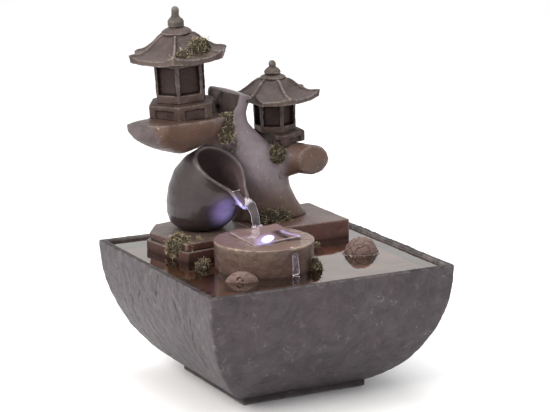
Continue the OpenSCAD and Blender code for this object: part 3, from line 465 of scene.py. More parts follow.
class FountainSizes(bpy.types.PropertyGroup):
    """Sizes that the visual model can take beside the frame's own"""

    water_level: FloatProperty(
        name="Water level", description="Height of the pool's surface above the table",
        default=92.3 * MM, min=88 * MM, max=94 * MM, **LENGTH)
    jug_bead: FloatProperty(
        name="Jug bead", description="Radius of the rolled bead round the jug's mouth",
        default=1.6 * MM, min=0.6 * MM, max=2.2 * MM, **LENGTH)
    roof_rib: FloatProperty(
        name="Roof rib", description="Radius of the ribs down the lantern roofs",
        default=1.15 * MM, min=0.6 * MM, max=2 * MM, **LENGTH)
    stream_half_width: FloatProperty(
        name="Stream", description="Half the width of the water that falls from the lip",
        default=4.2 * MM, min=2 * MM, max=6 * MM, **LENGTH)
    fibre_length: FloatProperty(
        name="Moss fibre", description="Length of the longest moss fibres",
        default=3.6 * MM, min=1.5 * MM, max=6 * MM, **LENGTH)
    fibres_per_mm2: FloatProperty(
        name="Moss density", description="Moss fibres on each square millimetre of a cushion",
        default=2.8, min=0.5, max=4, subtype="FACTOR")


class FountainColours(bpy.types.PropertyGroup):
    """Middle tones of the finishes"""

    bowl: FloatVectorProperty(
        name="Bowl", description="Cast stone of the bowl", default=linear("#41393d")[:3], **TONE)
    slate: FloatVectorProperty(
        name="Slate sides", description="Painted sides of the slates", default=linear("#5c3d38")[:3], **TONE)
    slate_top: FloatVectorProperty(
        name="Slate tops", description="Worn tops of the slates", default=linear("#5f4f49")[:3], **TONE)
    wood: FloatVectorProperty(
        name="Driftwood", description="Mauve grey of the trunk", default=linear("#877b81")[:3], **TONE)
    wood_cut: FloatVectorProperty(
        name="Cut wood", description="Brown of limbs and cut faces", default=linear("#604a3f")[:3], **TONE)
    jug: FloatVectorProperty(
        name="Jug", description="Burnished brown grey of the jug", default=linear("#2f2426")[:3], **TONE)
    lantern: FloatVectorProperty(
        name="Lantern roofs", description="Stone of roofs and caps", default=linear("#4f423e")[:3], **TONE)
    lantern_body: FloatVectorProperty(
        name="Lantern bodies", description="Darker stone of the light boxes and bases",
        default=linear("#453733")[:3], **TONE)
    disc: FloatVectorProperty(
        name="Round stone side", description="Wet carved side", default=linear("#57433d")[:3], **TONE)
    disc_top: FloatVectorProperty(
        name="Round stone top", description="Worn pale top", default=linear("#755d55")[:3], **TONE)
    pebble: FloatVectorProperty(
        name="Pebbles", description="Pitted pebbles in the pool", default=linear("#6a554e")[:3], **TONE)
    deck: FloatVectorProperty(
        name="Pool floor", description="Rusty floor under the water", default=linear("#7c4b33")[:3], **TONE)
    glow: FloatVectorProperty(
        name="Lamp glow", description="Violet of the lamp's light", default=linear("#9fb0fa")[:3], **TONE)


def sizes():
    return bpy.context.scene.fountain_sizes


def colour(name):
    return (*getattr(bpy.context.scene.fountain_colours, name), 1.0)


# Where most of a noise texture's values lie, and the shades of a fine grain
MIDDLE = (0.3, 0.7)
FINE = (0.88, 1.12)


def stored(add, name):
    """The value that a mesh's points hold under a name."""
    return add("ShaderNodeAttribute", out="Fac", attribute_name=name)


def calc(add, operation, *values, **settings):
    """A sum, product or power of values."""
    return add("ShaderNodeMath", dict(enumerate(values)), operation=operation, **settings)


def remapped(add, value, low, high, bottom=0.0, top=1.0):
    """A value spread from low and high to bottom and top, and kept between those two."""
    return add("ShaderNodeMapRange", {
        "Value": value, "From Min": low, "From Max": high, "To Min": bottom, "To Max": top})


def mixed(add, share, one, other):
    """A colour that is one where the share is 0 and the other where it is 1."""
    return add("ShaderNodeMix", {0: share, 6: one, 7: other}, 2, data_type="RGBA")


def shaded(add, tone, light):
    """A colour darkened or lightened by a factor."""
    return add("ShaderNodeVectorMath", {0: tone, 1: light}, operation="MULTIPLY")


def relief(add, height, depth):
    """Bumps of a depth in mm."""
    return add("ShaderNodeBump", {"Height": height, "Distance": depth * MM})


def cloud(add, place, size, detail=3.0, **more):
    """Noise with features of a size in mm."""
    return add("ShaderNodeTexNoise", {"Vector": place, "Scale": 1000 / size, "Detail": detail, **more}, "Fac")


def patches(add, place, size, start, full, strength, detail=3.0):
    """Soft patches of a size in mm: 0 where the noise is at start, and strength where it is at full."""
    return remapped(add, cloud(add, place, size, detail), start, full, 0.0, strength)


def thin_lines(add, place, size, distort, mask):
    """Broken thin lines that wander over a surface: 1 on a line."""
    swirl = cloud(add, place, size, Roughness=0.6, Distortion=distort)
    band = calc(add, "ABSOLUTE", calc(add, "ADD", swirl, -0.5))
    return calc(add, "MULTIPLY", remapped(add, band, 0.03, 0.0), mask)


def weathered(name, middle, second, spread, patch, grain, worn, dirt, tint=("#5a4a44", 0.0), scratch=0.0,
              rough=0.55, bump=0.2, wet=0.0, worn_reach=(0.6, 0.85), stretch=(1, 1, 1), distort=0.6,
              speck=0.0, shine=0.3):
    """Cast and hand-finished material: clouded tones, washed hollows and dry-brushed edges.

    middle and second are the tones where the piece's zone layer is 0 and 1, spread how far the
    clouds darken and lighten them, and patch and grain their sizes in mm. worn, dirt and tint are
    a colour and a strength on edges, in hollows and in wide stains. scratch is the strength of
    thin pale and dark drag marks, speck of pale grains, and the mark layer darkens where it is 1.
    bump is in mm, wet is how much of a clear film lies on the surface, worn_reach is the wear
    where the edges' colour starts and is full, and stretch squeezes all patterns along an axis.
    """
    material, add = blank_material(name)
    place = add("ShaderNodeTexCoord", out="Object")
    place = add("ShaderNodeMapping", {"Vector": place, "Scale": stretch})
    clouds = cloud(add, place, patch, 6.0, Roughness=0.62, Distortion=distort)
    grit = cloud(add, place, grain, 4.0, Roughness=0.65)
    tone = mixed(add, stored(add, "zone"), middle, second) if second else middle
    stained = patches(add, place, patch / 0.42, 0.42, 0.62, tint[1])
    tone = mixed(add, stained, tone, linear(tint[0]))
    shade = remapped(add, clouds, *MIDDLE, *spread)
    tone = shaded(add, tone, calc(add, "MULTIPLY", shade, remapped(add, grit, *MIDDLE, *FINE)))
    ragged = calc(add, "MULTIPLY_ADD", calc(add, "ADD", grit, -0.5), 0.3, stored(add, "wear_and_glint"))
    hollow = remapped(add, ragged, 0.44, 0.2, 0.0, dirt[1])
    edge = remapped(add, ragged, *worn_reach, 0.0, worn[1])
    edge = calc(add, "MULTIPLY", edge, remapped(add, clouds, 0.4, 0.58, 0.25))
    coats = [(hollow, dirt[0]), (edge, worn[0])]
    if scratch:
        for size, code, start, full in ((0.55, worn[0], 0.56, 0.68), (0.8, dirt[0], 0.46, 0.36)):
            broken = patches(add, place, patch * 0.6, start, full, scratch)
            coats.append((thin_lines(add, place, patch * size, distort * 1.4, broken), code))
    if speck:
        coats.append((patches(add, place, 1.9, 0.72, 0.77, speck, 1.0), "#b9b0b2"))
    for cover, code in coats:
        tone = mixed(add, cover, tone, linear(code))
    # The layer read here darkens cracks, pits and wet stone, and on some pieces it is painted shade
    light = calc(add, "MULTIPLY_ADD", stored(add, "marks_and_shade"), -0.8, 1.0)
    shader = add("ShaderNodeBsdfPrincipled", {
        "Base Color": shaded(add, tone, light),
        "Roughness": remapped(add, grit, *MIDDLE, rough - 0.1, rough + 0.1),
        "Normal": relief(add, calc(add, "MULTIPLY_ADD", clouds, 1.4, grit), bump),
        "Specular IOR Level": calc(add, "MULTIPLY", light, shine),
        "Coat Weight": wet, "Coat Roughness": 0.12})
    add("ShaderNodeOutputMaterial", {"Surface": shader})
    return material


def moulded(name, code, rough, grain=1.0, bump=0.02, metallic=0.0):
    """Moulded or machined material: one tone with a faint grain in colour, gloss and surface."""
    material, add = blank_material(name)
    grit = cloud(add, add("ShaderNodeTexCoord", out="Object"), grain)
    shader = add("ShaderNodeBsdfPrincipled", {
        "Base Color": shaded(add, linear(code)[:3], remapped(add, grit, *MIDDLE, *FINE)),
        "Roughness": remapped(add, grit, *MIDDLE, rough - 0.06, rough + 0.06),
        "Normal": relief(add, grit, bump),
        "Metallic": metallic})
    add("ShaderNodeOutputMaterial", {"Surface": shader})
    return material


def moss_material():
    """Dried moss: olive and tan fibres over a dark bed of painted shade, each fibre of its own shade and
    darker towards its root as painted shade.
    """
    material, add = blank_material("dried_moss")
    tone = add("ShaderNodeValToRGB", {"Fac": stored(add, "shade")})
    stops = tone.node.color_ramp.elements
    for place, code in ((0.0, "#231e16"), (0.25, "#483e2b"), (0.5, "#6b5e41"), (0.72, "#908160"),
                        (1.0, "#c2b595")):
        stop = stops[0] if place == 0 else stops[-1] if place == 1 else stops.new(place)
        stop.color = linear(code)
    # Each fibre darkens towards its root, as painted shade among the fibres
    tone = shaded(add, tone, remapped(add, stored(add, "tip"), 0.0, 1.0, 0.3, 1.2))
    shader = add("ShaderNodeBsdfPrincipled", {"Base Color": tone, "Roughness": 0.85})
    add("ShaderNodeOutputMaterial", {"Surface": shader})
    return material


def water_material(name, tint, strength, ripple=0.0, rim=0.0):
    """Water: clear from above and a mirror at a glance, with a lit rim where it is poured."""
    material, add = blank_material(name)
    normal = {}
    if ripple:
        swell = cloud(add, add("ShaderNodeTexCoord", out="Object"), 34, 1.0)
        normal = {"Normal": relief(add, swell, ripple)}
    clear = add("ShaderNodeBsdfTransparent", {"Color": linear(tint)})
    mirror = add("ShaderNodeBsdfGlossy", {"Roughness": 0.04, "Color": (1, 0.975, 0.95, 1), **normal})
    edge = add("ShaderNodeFresnel", {"IOR": 1.33, **normal})
    share = calc(add, "MULTIPLY", edge, strength, use_clamp=True)
    shader = add("ShaderNodeMixShader", {0: share, 1: clear, 2: mirror})
    if rim:
        side = calc(add, "POWER", add("ShaderNodeLayerWeight", {"Blend": 0.35}, "Facing"), 2.2)
        light = add("ShaderNodeEmission", {
            "Color": linear("#e6e0f2"), "Strength": calc(add, "MULTIPLY", side, rim)})
        shader = add("ShaderNodeAddShader", {0: shader, 1: light})
    add("ShaderNodeOutputMaterial", {"Surface": shader})
    return material


def lens_material():
    """Cast clear resin over wet stone, lit from below: a white spot, a violet halo and a lit far edge."""
    material, add = blank_material("clear_cast_resin")
    spot, halo, marks_and_shade, wear_and_glint = (stored(add, layer) for layer in ("spot", "halo", "marks_and_shade", "wear_and_glint"))
    # A painted shadow beside the glow, then pale edges that are painted highlights where the slab's edges
    # catch the light
    tone = mixed(add, marks_and_shade, linear("#7a6563"), linear("#352a2d"))
    tone = mixed(add, remapped(add, wear_and_glint, 0.6, 0.85, 0.0, 0.6), tone, linear("#c4bac0"))
    shader = add("ShaderNodeBsdfPrincipled", {
        "Base Color": tone, "Roughness": 0.12,
        "Emission Color": mixed(add, spot, linear("#a7a0ee"), linear("#f6f6ff")),
        "Emission Strength": calc(add, "MULTIPLY_ADD", halo, 0.75, calc(add, "MULTIPLY", spot, 6.0))})
    add("ShaderNodeOutputMaterial", {"Surface": shader})
    return material


def material_set():
    """All finishes by name, made once."""
    return {
        # Cast stone composite, trowelled: slate grey clouds with fine swirled drag marks
        "bowl_stone": weathered(
            "trowelled_cast_stone", colour("bowl"), None, (0.66, 1.34), 15, 1.5, ("#857f7c", 0.5),
            ("#211c1e", 0.6), ("#413c3e", 0.6), scratch=0.62, rough=0.47, bump=0.32, distort=1.2),
        # Cast resin painted as rusty slate: red-brown clouds, greyer on top where it is worn
        "slate_resin": weathered(
            "painted_slate_resin", colour("slate"), colour("slate_top"), (0.78, 1.25), 16, 1.2,
            ("#8a7b72", 0.6), ("#231715", 0.75), ("#453a37", 0.5), rough=0.45, bump=0.18, wet=0.1),
        # Cast resin painted as driftwood: mauve grey with pale specks, brown on the limbs and the foot
        "wood_resin": weathered(
            "painted_driftwood_resin", colour("wood"), colour("wood_cut"), (0.82, 1.2), 16, 1.0,
            ("#9a9194", 0.5), ("#3a2e2c", 0.65), ("#6a5f60", 0.4), rough=0.48, wet=0.1, speck=0.6),
        # Stoneware-look resin, burnished: dark brown grey with a soft sheen and a rubbed rim
        "jug_ceramic": weathered(
            "burnished_stoneware_resin", colour("jug"), linear("#6b5a5c"), (0.85, 1.2), 20, 1.0,
            ("#75686a", 0.9), ("#1d1617", 0.5), ("#443a36", 0.35), rough=0.36, bump=0.08, wet=0.12,
            worn_reach=(0.58, 0.8), shine=0.45),
        # Cast resin painted as old stone: brown grey, dark wash in hollows, grey dry-brushed edges
        "lantern_roof": weathered(
            "antiqued_stone_resin", colour("lantern"), None, (0.72, 1.28), 9, 0.9,
            ("#8b8078", 0.85), ("#201716", 0.9), ("#3a2f2c", 0.5), bump=0.22),
        # The same casting, greyer, on the finials
        "lantern_finial": weathered(
            "grey_washed_stone_resin", linear("#4a423d"), None, (0.75, 1.25), 9, 0.9,
            ("#7d7870", 0.8), ("#201a19", 0.9), ("#55483f", 0.5), bump=0.18),
        # The same casting with a darker wash on the light boxes and bases
        "lantern_body": weathered(
            "dark_washed_stone_resin", colour("lantern_body"), None, (0.75, 1.25), 9, 0.9,
            ("#7a7069", 0.75), ("#1c1413", 0.9), ("#4c3a33", 0.4), shine=0.2),
        # Wet sandstone look: warm brown sides in level beds, a worn pale rim
        "disc_stone": weathered(
            "wet_carved_stone_resin", colour("disc"), colour("disc_top"), (0.78, 1.24), 15, 1.1,
            ("#a08f7c", 0.75), ("#261a17", 0.75), ("#5f4f42", 0.5), scratch=0.25, rough=0.32, bump=0.15,
            wet=0.3, stretch=(1, 1, 3)),
        # River pebble: pinkish tan with fine pits
        "pebble_stone": weathered(
            "pitted_pebble", colour("pebble"), None, (0.8, 1.25), 5, 0.8,
            ("#9c8b82", 0.5), ("#33241f", 0.9), rough=0.5, bump=0.25),
        # Cast resin under water: rust brown with darker swirls
        "deck_resin": weathered(
            "rusty_submerged_resin", colour("deck"), None, (0.65, 1.75), 16, 2.0,
            ("#7d6a5c", 0.4), ("#2b1a14", 0.5), ("#3b2a22", 0.6), rough=0.6, bump=0.3),
        "moss": moss_material(),
        "pool_water": water_material("pool_water", "#efe4d8", 1.6, ripple=0.35),
        "poured_water": water_material("poured_water", "#f4f1f4", 1.5, rim=1.3),
        # Water in the spout: brown from the dark glaze under it
        "spout_water": moulded("water_over_dark_glaze", "#3a2a27", 0.12, grain=6, bump=0.15),
        "still_water_edge": water_material("still_water_edge", "#f4eeea", 1.2, rim=0.25),
        "lens": lens_material(),
        # Injection-moulded ABS, fine spark texture
        "pump_plastic": moulded("moulded_black_abs", "#17181a", 0.45),
        # Soft grey nitrile rubber, matt
        "pad_rubber": moulded("moulded_nitrile_rubber", "#1c1c1d", 0.75),
        # Nickel-plated brass, turned: a warm grey shine
        "nut_metal": moulded("nickel_plated_brass", "#b5b0a4", 0.3, metallic=1.0),
        # Sintered alumina, ground smooth: off-white with a soft shine
        "shaft_ceramic": moulded("ground_alumina", "#e6e2d8", 0.25),
        # Natural polypropylene, moulded: milky white
        "impeller_plastic": moulded("natural_polypropylene", "#dcdde0", 0.35),
        # Sintered ferrite, ground: dark grey and half matt
        "magnet": moulded("sintered_ferrite", "#2b2a2b", 0.5),
        # Grey ABS, moulded, for the slider's knob
        "slider_plastic": moulded("moulded_grey_abs", "#3a3b3d", 0.45),
        # Flexible PVC sheath, extruded: smooth black
        "lead_rubber": moulded("extruded_pvc_sheath", "#121214", 0.4),
        # Glass-fibre board with green solder mask
        "board": moulded("solder_masked_board", "#1f5a30", 0.3),
        # Phosphor-filled silicone dome: pale yellow
        "led": moulded("phosphor_silicone", "#f1e6a6", 0.3),
        # Clear flexible PVC, extruded: seen through, with bright edges
        "clear_resin": water_material("clear_pvc_hose", "#eef3f5", 2.0),
    }


def curve_half(z, top_half, low_half, low_z):
    """Half width at a height of a face that follows a quarter ellipse from low_z up to the rim."""
    share = (low_half - CURVE_IN) / (top_half - CURVE_IN)
    drop = (BOWL_HEIGHT - low_z) / math.sqrt(1 - share**2)
    return CURVE_IN + (top_half - CURVE_IN) * math.sqrt(max(0, 1 - ((BOWL_HEIGHT - z) / drop) ** 2))


def outer_half(z):
    return curve_half(z, BOWL_HALF, FOOT_HALF, FOOT_HEIGHT)


def inner_half(z):
    return curve_half(z, BOWL_HALF - BOWL_WALL, FOOT_HALF - BOWL_WALL, FLOOR_HEIGHT)


def square_ring(half, z, corner):
    """A level square with rounded corners."""
    ring = []
    for k in range(4):
        turn = Matrix.Rotation(math.radians(90 * k), 2)
        for i in range(SIDE_STEPS):
            ring.append(turn @ Vector((half, (2 * i / SIDE_STEPS - 1) * (half - corner))))
        for i in range(CORNER_STEPS):
            a = math.radians(90 * i / CORNER_STEPS)
            ring.append(turn @ Vector((half - corner + corner * math.cos(a),
                                       half - corner + corner * math.sin(a))))
    return [(p.x, p.y, z) for p in ring]


def heights(low, high, count, power):
    """Heights from low to high, closer together at the low end."""
    return [low + (high - low) * (i / count) ** power for i in range(count + 1)]


def bowl_veins():
    """Cracks down the four faces, in mm: they wander down from near the rim, each face's own."""
    draw = random.Random(8)
    veins = []
    for k, starts in enumerate(BOWL_CRACKS):
        turn = Matrix.Rotation(math.radians(90 * k), 2)
        for start in starts:
            along, z = start + draw.uniform(-9, 9), draw.uniform(70, 92)
            line = []
            for _ in range(draw.randint(4, 9)):
                flat = turn @ Vector((outer_half(z), along))
                line.append((flat.x, flat.y, z))
                along += draw.uniform(-4.5, 3)
                z -= draw.uniform(3, 7)
            veins.append(line)
    return veins


class FOUNTAIN_OT_bowl(bpy.types.Operator):
    """Builds the square bowl with its curved faces, rim and foot band"""

    bl_idname = "fountain.bowl"
    bl_label = "Bowl"

    def execute(self, context):
        rings = [square_ring(FOOT_HALF - 0.7, SHEET_PROUD, 0.8), square_ring(FOOT_HALF - 0.2, 0.8, 1)]
        rings += [square_ring(FOOT_HALF, z, 1) for z in (1.4, 2.4, 3.4, 4.2)]
        outside = heights(FOOT_HEIGHT, BOWL_HEIGHT - 1.2, 104, 1.25)
        rings += [square_ring(outer_half(z), z, 1.2) for z in outside]
        side = len(rings[0])
        # The rim is a flat band between rounded edges: two rings outside, two on top and one inside
        outer = (len(rings) + 2) * side
        edges = ((0.1, 0.6), (0.45, 0.15), (1.1, 0), (BOWL_WALL - 1, 0), (BOWL_WALL - 0.3, 0.25))
        rings += [square_ring(BOWL_HALF - inset, BOWL_HEIGHT - drop, 1.2) for inset, drop in edges]
        inside = heights(FLOOR_HEIGHT, BOWL_HEIGHT - 0.9, 16, 1.2)
        rings += [square_ring(inner_half(z), z, 1.5) for z in reversed(inside)]
        mesh = ring_mesh("bowl", rings)
        start = get_points(mesh)
        z = start[:, 2]
        face = step(z, FOOT_HEIGHT, FOOT_HEIGHT + 5)
        face[outer:] = 0
        roughen(mesh, ((24, 0.35, 3), (8, 0.36, 5), (3.2, 0.3, 9)), face)
        pits = np.clip(noise_at(start, 6, 21) - 0.42, 0, 1) * face
        cracks = carve(mesh, bowl_veins(), 0.8, 0.4) * step(noise_at(start, 7, 4), -0.2, 0.2) * face
        moved = get_points(mesh)
        moved[:, :2] = np.clip(moved[:, :2], -BOWL_HALF, BOWL_HALF)
        set_points(mesh, moved)
        add_wear_and_glint(mesh, 5, 0.4)
        rim = step(z, BOWL_HEIGHT - 0.7, BOWL_HEIGHT - 0.1) * 0.72
        rim[outer + side * 2 :] = 0
        # The foot band, under the bowl's overhang, is darkened as painted shade
        band = step(z, FOOT_HEIGHT, FOOT_HEIGHT - 0.9) * 0.33
        set_layer(mesh, "marks_and_shade", cracks * 0.9 + pits * 0.4 + rim + band)
        add_piece("bowl_shell", mesh, "bowl", "bowl_stone", ["bowl"])
        return {"FINISHED"}


def wet_line(points):
    """How far stone is darkened near the pool's surface, where it stays wet."""
    level = sizes().water_level / MM
    return step(points[:, 2], level + 4, level + 0.5) * 0.35


class FOUNTAIN_OT_slates(bpy.types.Operator):
    """Builds the slate blocks that carry the trunk and the jug"""

    bl_idname = "fountain.slates"
    bl_label = "Slates"

    def execute(self, context):
        for source, shade in SLATES.items():
            name = source + "_block"
            mesh = remeshed(cad_copy(name, source), 0.8, 2)
            points = get_points(mesh)
            top = step(get_normals(mesh)[:, 2], 0.5, 0.85)
            roughen(mesh, ((20, 0.35, 2), (4, 0.16, 4), (1.8, 0.1, 6)))
            add_wear_and_glint(mesh, 6, 0.35)
            away = np.hypot(points[:, 0] - TRUNK_MIDDLE[0], (points[:, 1] - TRUNK_MIDDLE[1]) * 1.3)
            set_layer(mesh, "zone", top * (1 - 0.8 * step(away, 38, 22)))
            set_layer(mesh, "marks_and_shade", wet_line(points) + shade * (1 - 0.6 * top))
            add_piece(name, mesh, "sculpture", "slate_resin", [source])
        return {"FINISHED"}


class FOUNTAIN_OT_trunk(bpy.types.Operator):
    """Builds the carved trunk with its two limbs as one casting"""

    bl_idname = "fountain.trunk"
    bl_label = "Trunk and limbs"

    def execute(self, context):
        nodes = ["trunk", "left_limb", "short_limb"]
        mesh = remeshed(cad_copy("carved_trunk", *nodes), 0.9, 9)
        roughen(mesh, ((18, 0.6, 1), (6, 0.25, 7)))
        crack = carve(mesh, [TRUNK_CRACK], 1.0, 1.6)
        # The top left corner is rounded and drawn out to the left
        x, _, z = get_points(mesh).T
        soften(mesh, step(z, 188, 200) * step(x, -2, -9), 45)
        points = get_points(mesh)
        set_points(mesh, points + hill(points, TRUNK_LUMP, 8)[:, None] * TRUNK_LUMP_SHIFT)
        # The cut face right of the crack, pressed in below the pale wood beside it
        x, y, z = get_points(mesh).T
        left_end = np.interp(z, *CUT_LEFT)
        right_end = np.interp(z, *CUT_RIGHT)
        cut = step(x, left_end, left_end + 1) * step(x, right_end, right_end - 1)
        cut *= step(z, 182, 188) * step(y, 66, 60)
        push(mesh, -1.3 * cut)
        roughen(mesh, ((2.2, 0.13, 8),))
        # The join below the short limb is filled smooth
        soften(mesh, hill(get_points(mesh), LIMB_JOIN, 5), 60)
        add_wear_and_glint(mesh, 8, 0.5)
        # Brown are the left limb up to its sawn tip, the foot, the short limb's stub, the cut and its lump
        x, y, z = get_points(mesh).T
        limb = step(x, -6, -12) * step(z, 150, 158) * step(z, 196, 192)
        tip = step(x - 0.74 * (186 - z), -77, -81) * limb
        lump = step(x, left_end + 1, left_end) * step(z, 186, 190)
        foot = step(z, 143, 117)
        stub = step(x, 33, 39) * step(z, 166, 160) * step(z, 126, 132)
        low = step(z, 116, 106)
        set_layer(mesh, "zone", np.maximum.reduce([limb * (1 - 0.6 * tip), foot, stub, cut, 0.6 * lump]))
        # The cut face is brown, and darkened further as painted shade where it turns away from the light
        set_layer(mesh, "marks_and_shade", 0.6 * cut + crack + 0.3 * low + 0.45 * tip + 0.1 * stub + 0.3 * lump)
        add_piece("carved_trunk", mesh, "sculpture", "wood_resin", nodes)
        return {"FINISHED"}


def jug_mouth_path():
    """The middle of the bead round the jug's mouth, in mm, pinched to a spout at the front."""
    tilt = math.radians(JUG_MOUTH_TILT)
    turn = Matrix.Rotation(math.radians(JUG_TURN), 3, "Z")
    path = []
    steps = 72
    for i in range(steps + 1):
        a = 2 * math.pi * i / steps
        front = (1 + math.cos(a)) / 2
        spout = min(front**2.5 * (2 - front), 0.68)
        x = (JUG_MOUTH_LENGTH - JUG_BEAD_INSET) * math.cos(a)
        y = (JUG_MOUTH_WIDTH - JUG_BEAD_INSET) * math.sin(a) * (1 - JUG_MOUTH_PINCH * spout)
        place = Vector((JUG_MOUTH[0] + x * math.cos(tilt), y, JUG_MOUTH[1] - x * math.sin(tilt)))
        path.append(Vector(JUG_PLACE) + turn @ place)
    return path


class FOUNTAIN_OT_jug(bpy.types.Operator):
    """Builds the pouring jug with its rolled rim and drawn lip"""

    bl_idname = "fountain.jug"
    bl_label = "Jug"

    def execute(self, context):
        thick = sizes().jug_bead / MM
        bead = rod("jug_bead", jug_mouth_path(), lambda t: thick * (1 + 0.12 * math.sin(31 * t)))
        mesh = remeshed(join_meshes("pouring_jug", [cad_copy("jug_wall", "jug"), bead]), 0.7, 4)
        # The lip is pulled down, as a potter's finger does
        points = get_points(mesh)
        set_points(mesh, points - hill(points, LIP, 8.5)[:, None] * LIP_PULL)
        roughen(mesh, ((20, 0.3, 1), (5, 0.1, 7)))
        add_wear_and_glint(mesh, 12, 0.5)
        points = get_points(mesh)
        # The jug is a little darker all over, and darker still towards its bottom as painted shade under its
        # curve
        set_layer(mesh, "marks_and_shade", 0.08 + 0.4 * step(points[:, 2], 117, 104))
        middle = np.add(JUG_PLACE, (0, 0, 20))
        set_layer(mesh, "zone", ((points - middle) * get_normals(mesh)).sum(1) < 0)
        add_piece("pouring_jug", mesh, "sculpture", "jug_ceramic", ["jug"])
        return {"FINISHED"}


def roof_ribs(size):
    """A rounded rib down each of a roof's six hips."""
    form = LANTERNS[size]
    r, h = form["roof_r"], form["roof_h"]
    eave = h * 0.23
    thick = sizes().roof_rib / MM
    turn = (Matrix.Rotation(math.radians(-form["lean"]), 3, "Y")
            @ Matrix.Rotation(math.radians(form["turn"]), 3, "Z"))
    # Shares of the radius, heights, shares of the corner's lift, and how far the rib stands out
    profile = ((1.0, eave * 0.75, 1, 0.4), (0.9, eave * 1.1, 0.7, 0.9), (0.76, h * 0.32, 0.3, 1),
               (0.62, h * 0.48, 0.1, 1), (0.5, h * 0.66, 0, 1), (0.39, h * 0.86, 0, 0.8),
               (min(0.32, form["cap_r"] / r), h, 0, 0))
    ribs = []
    for k in range(6):
        out = Vector((math.cos(math.radians(60 * k)), math.sin(math.radians(60 * k)), 0))
        path = []
        for share, z, lift, rib in profile:
            up = Vector((0, 0, form["roof_z"] + z + lift * form["lifts"][k]))
            path.append(Vector(form["place"]) + turn @ (out * (r * share + rib) + up))
        ribs.append(rod(f"rib_{k}", smooth_path(path, 4), lambda t: thick * (1.3 - 0.4 * t), (0.3, 0.2, 1)))
    return ribs


def turn_finial(mesh, shares, widths):
    """Gives a finial its neck and bulb: widths scale it round its axis at shares of its height."""
    points = get_points(mesh)
    z = points[:, 2]
    share = (z - z.min()) / (z.max() - z.min())
    low, high = points[share < 0.1].mean(0), points[share > 0.9].mean(0)
    axis = low + np.clip(share, 0.05, 0.95)[:, None] * (high - low)
    width = np.interp(share, shares, widths)
    points[:, :2] = axis[:, :2] + (points[:, :2] - axis[:, :2]) * width[:, None]
    set_points(mesh, points)


class FOUNTAIN_OT_lanterns(bpy.types.Operator):
    """Builds both lanterns: base, light box, roof, cap and finial"""

    bl_idname = "fountain.lanterns"
    bl_label = "Lanterns"

    def execute(self, context):
        for size in LANTERNS:
            for part, finish in LANTERN_PARTS.items():
                source = f"{size}_{part}"
                piece = f"{size}_lantern_{part}"
                body = cad_copy(piece, source)
                low, high = get_points(body).min(0), get_points(body).max(0)
                if part == "roof":
                    body = join_meshes(piece, [body, *roof_ribs(size)])
                mesh = remeshed(body, 0.55, 3)
                if part in ("base", "box"):
                    points = get_points(mesh)
                    sunk = step(hull_depth(points, source), 0.7, 1.6)
                    if part == "box":
                        level = get_normals(mesh) * (1, 1, 0)
                        set_points(mesh, points - level * (sunk * 1.3)[:, None])
                    # Recessed panels are darkened as painted shade
                    set_layer(mesh, "marks_and_shade", sunk * (0.4 if part == "box" else 0.3))
                if part == "finial":
                    turn_finial(mesh, *FINIAL_TURNING[size])
                roughen(mesh, ((9, 0.3, 2), (2.5, 0.2, 4)))
                if part == "roof":
                    set_points(mesh, np.clip(get_points(mesh), low, high))
                add_wear_and_glint(mesh, 10, 0.4)
                add_piece(piece, mesh, "sculpture", "lantern_resin", [source], finish)
        return {"FINISHED"}


class FOUNTAIN_OT_light_stone(bpy.types.Operator):
    """Builds the round carved stone and the clear lens on it"""

    bl_idname = "fountain.light_stone"
    bl_label = "Light stone"

    def execute(self, context):
        mesh = remeshed(cad_copy("round_stone", "light_stone"), 0.8, 3)
        roughen(mesh, ((14, 0.55, 3), (4, 0.25, 5), (1.6, 0.1, 6)))
        add_wear_and_glint(mesh, 8, 0.45)
        set_layer(mesh, "zone", step(get_normals(mesh)[:, 2], 0.4, 0.9))
        set_layer(mesh, "marks_and_shade", wet_line(get_points(mesh)))
        add_piece("round_stone", mesh, "bowl", "disc_stone", ["light_stone"])
        lens = remeshed(cad_copy("square_lens", "lens"), 0.45, 3)
        roughen(lens, ((9, 0.25, 3),))
        points = get_points(lens)
        away = points - GLOW
        turn = math.radians(CAMERA_AZIMUTH)
        # As the camera sees them, the spot and the halo lie across the lens and lean to the back right
        side = away[:, 0] * math.cos(turn) + away[:, 1] * math.sin(turn)
        back = away[:, 1] * math.cos(turn) - away[:, 0] * math.sin(turn)
        reach = np.hypot(side, (back - 2 - 0.6 * side) * 0.55)
        low_side = np.hypot(side + 2.5, (back - 0.6 * side) * 0.5)
        top = step(get_normals(lens)[:, 2], 0.3, 0.8)
        set_layer(lens, "spot", step(reach, 5.2, 1.6) * top)
        lit = step(line_distance(points, [LIT_EDGE]), 2.4, 0.4)
        set_layer(lens, "halo", (step(low_side, 9, 3) + lit) * 0.8)
        # A painted shadow beside the glow, and the sides a little darker
        shadow = np.exp(-((line_distance(points, [LENS_SHADOW]) / 3.2) ** 2))
        set_layer(lens, "marks_and_shade", shadow + 0.35 * (1 - top))
        # On the lens this layer gives the pale edges, which are painted highlights
        add_wear_and_glint(lens, 6, 0.3)
        add_piece("square_lens", lens, "bowl", "clear_resin", ["lens"], "lens")
        return {"FINISHED"}


def stone_mesh(name, source):
    mesh = remeshed(cad_copy(name, source), 0.5, 4)
    roughen(mesh, ((6, 0.5, 3), (2.2, 0.3, 5)))
    return mesh


def water_ring(points, level):
    """A bead of water round the stone that has these points, at the pool's level."""
    near = points[np.abs(points[:, 2] - level) < 0.6]
    centre = near.mean(0)
    turns = np.arctan2(near[:, 1] - centre[1], near[:, 0] - centre[0])
    reach = np.hypot(near[:, 1] - centre[1], near[:, 0] - centre[0])
    path = []
    for a in np.radians(np.arange(-180, 181, 10)):
        close = np.abs(np.angle(np.exp(1j * (turns - a)))) < math.radians(12)
        r = reach[close].max() + 0.3
        path.append((centre[0] + r * math.cos(a), centre[1] + r * math.sin(a), level + 0.25))
    return rod("water_ring", path, lambda t: 0.5)


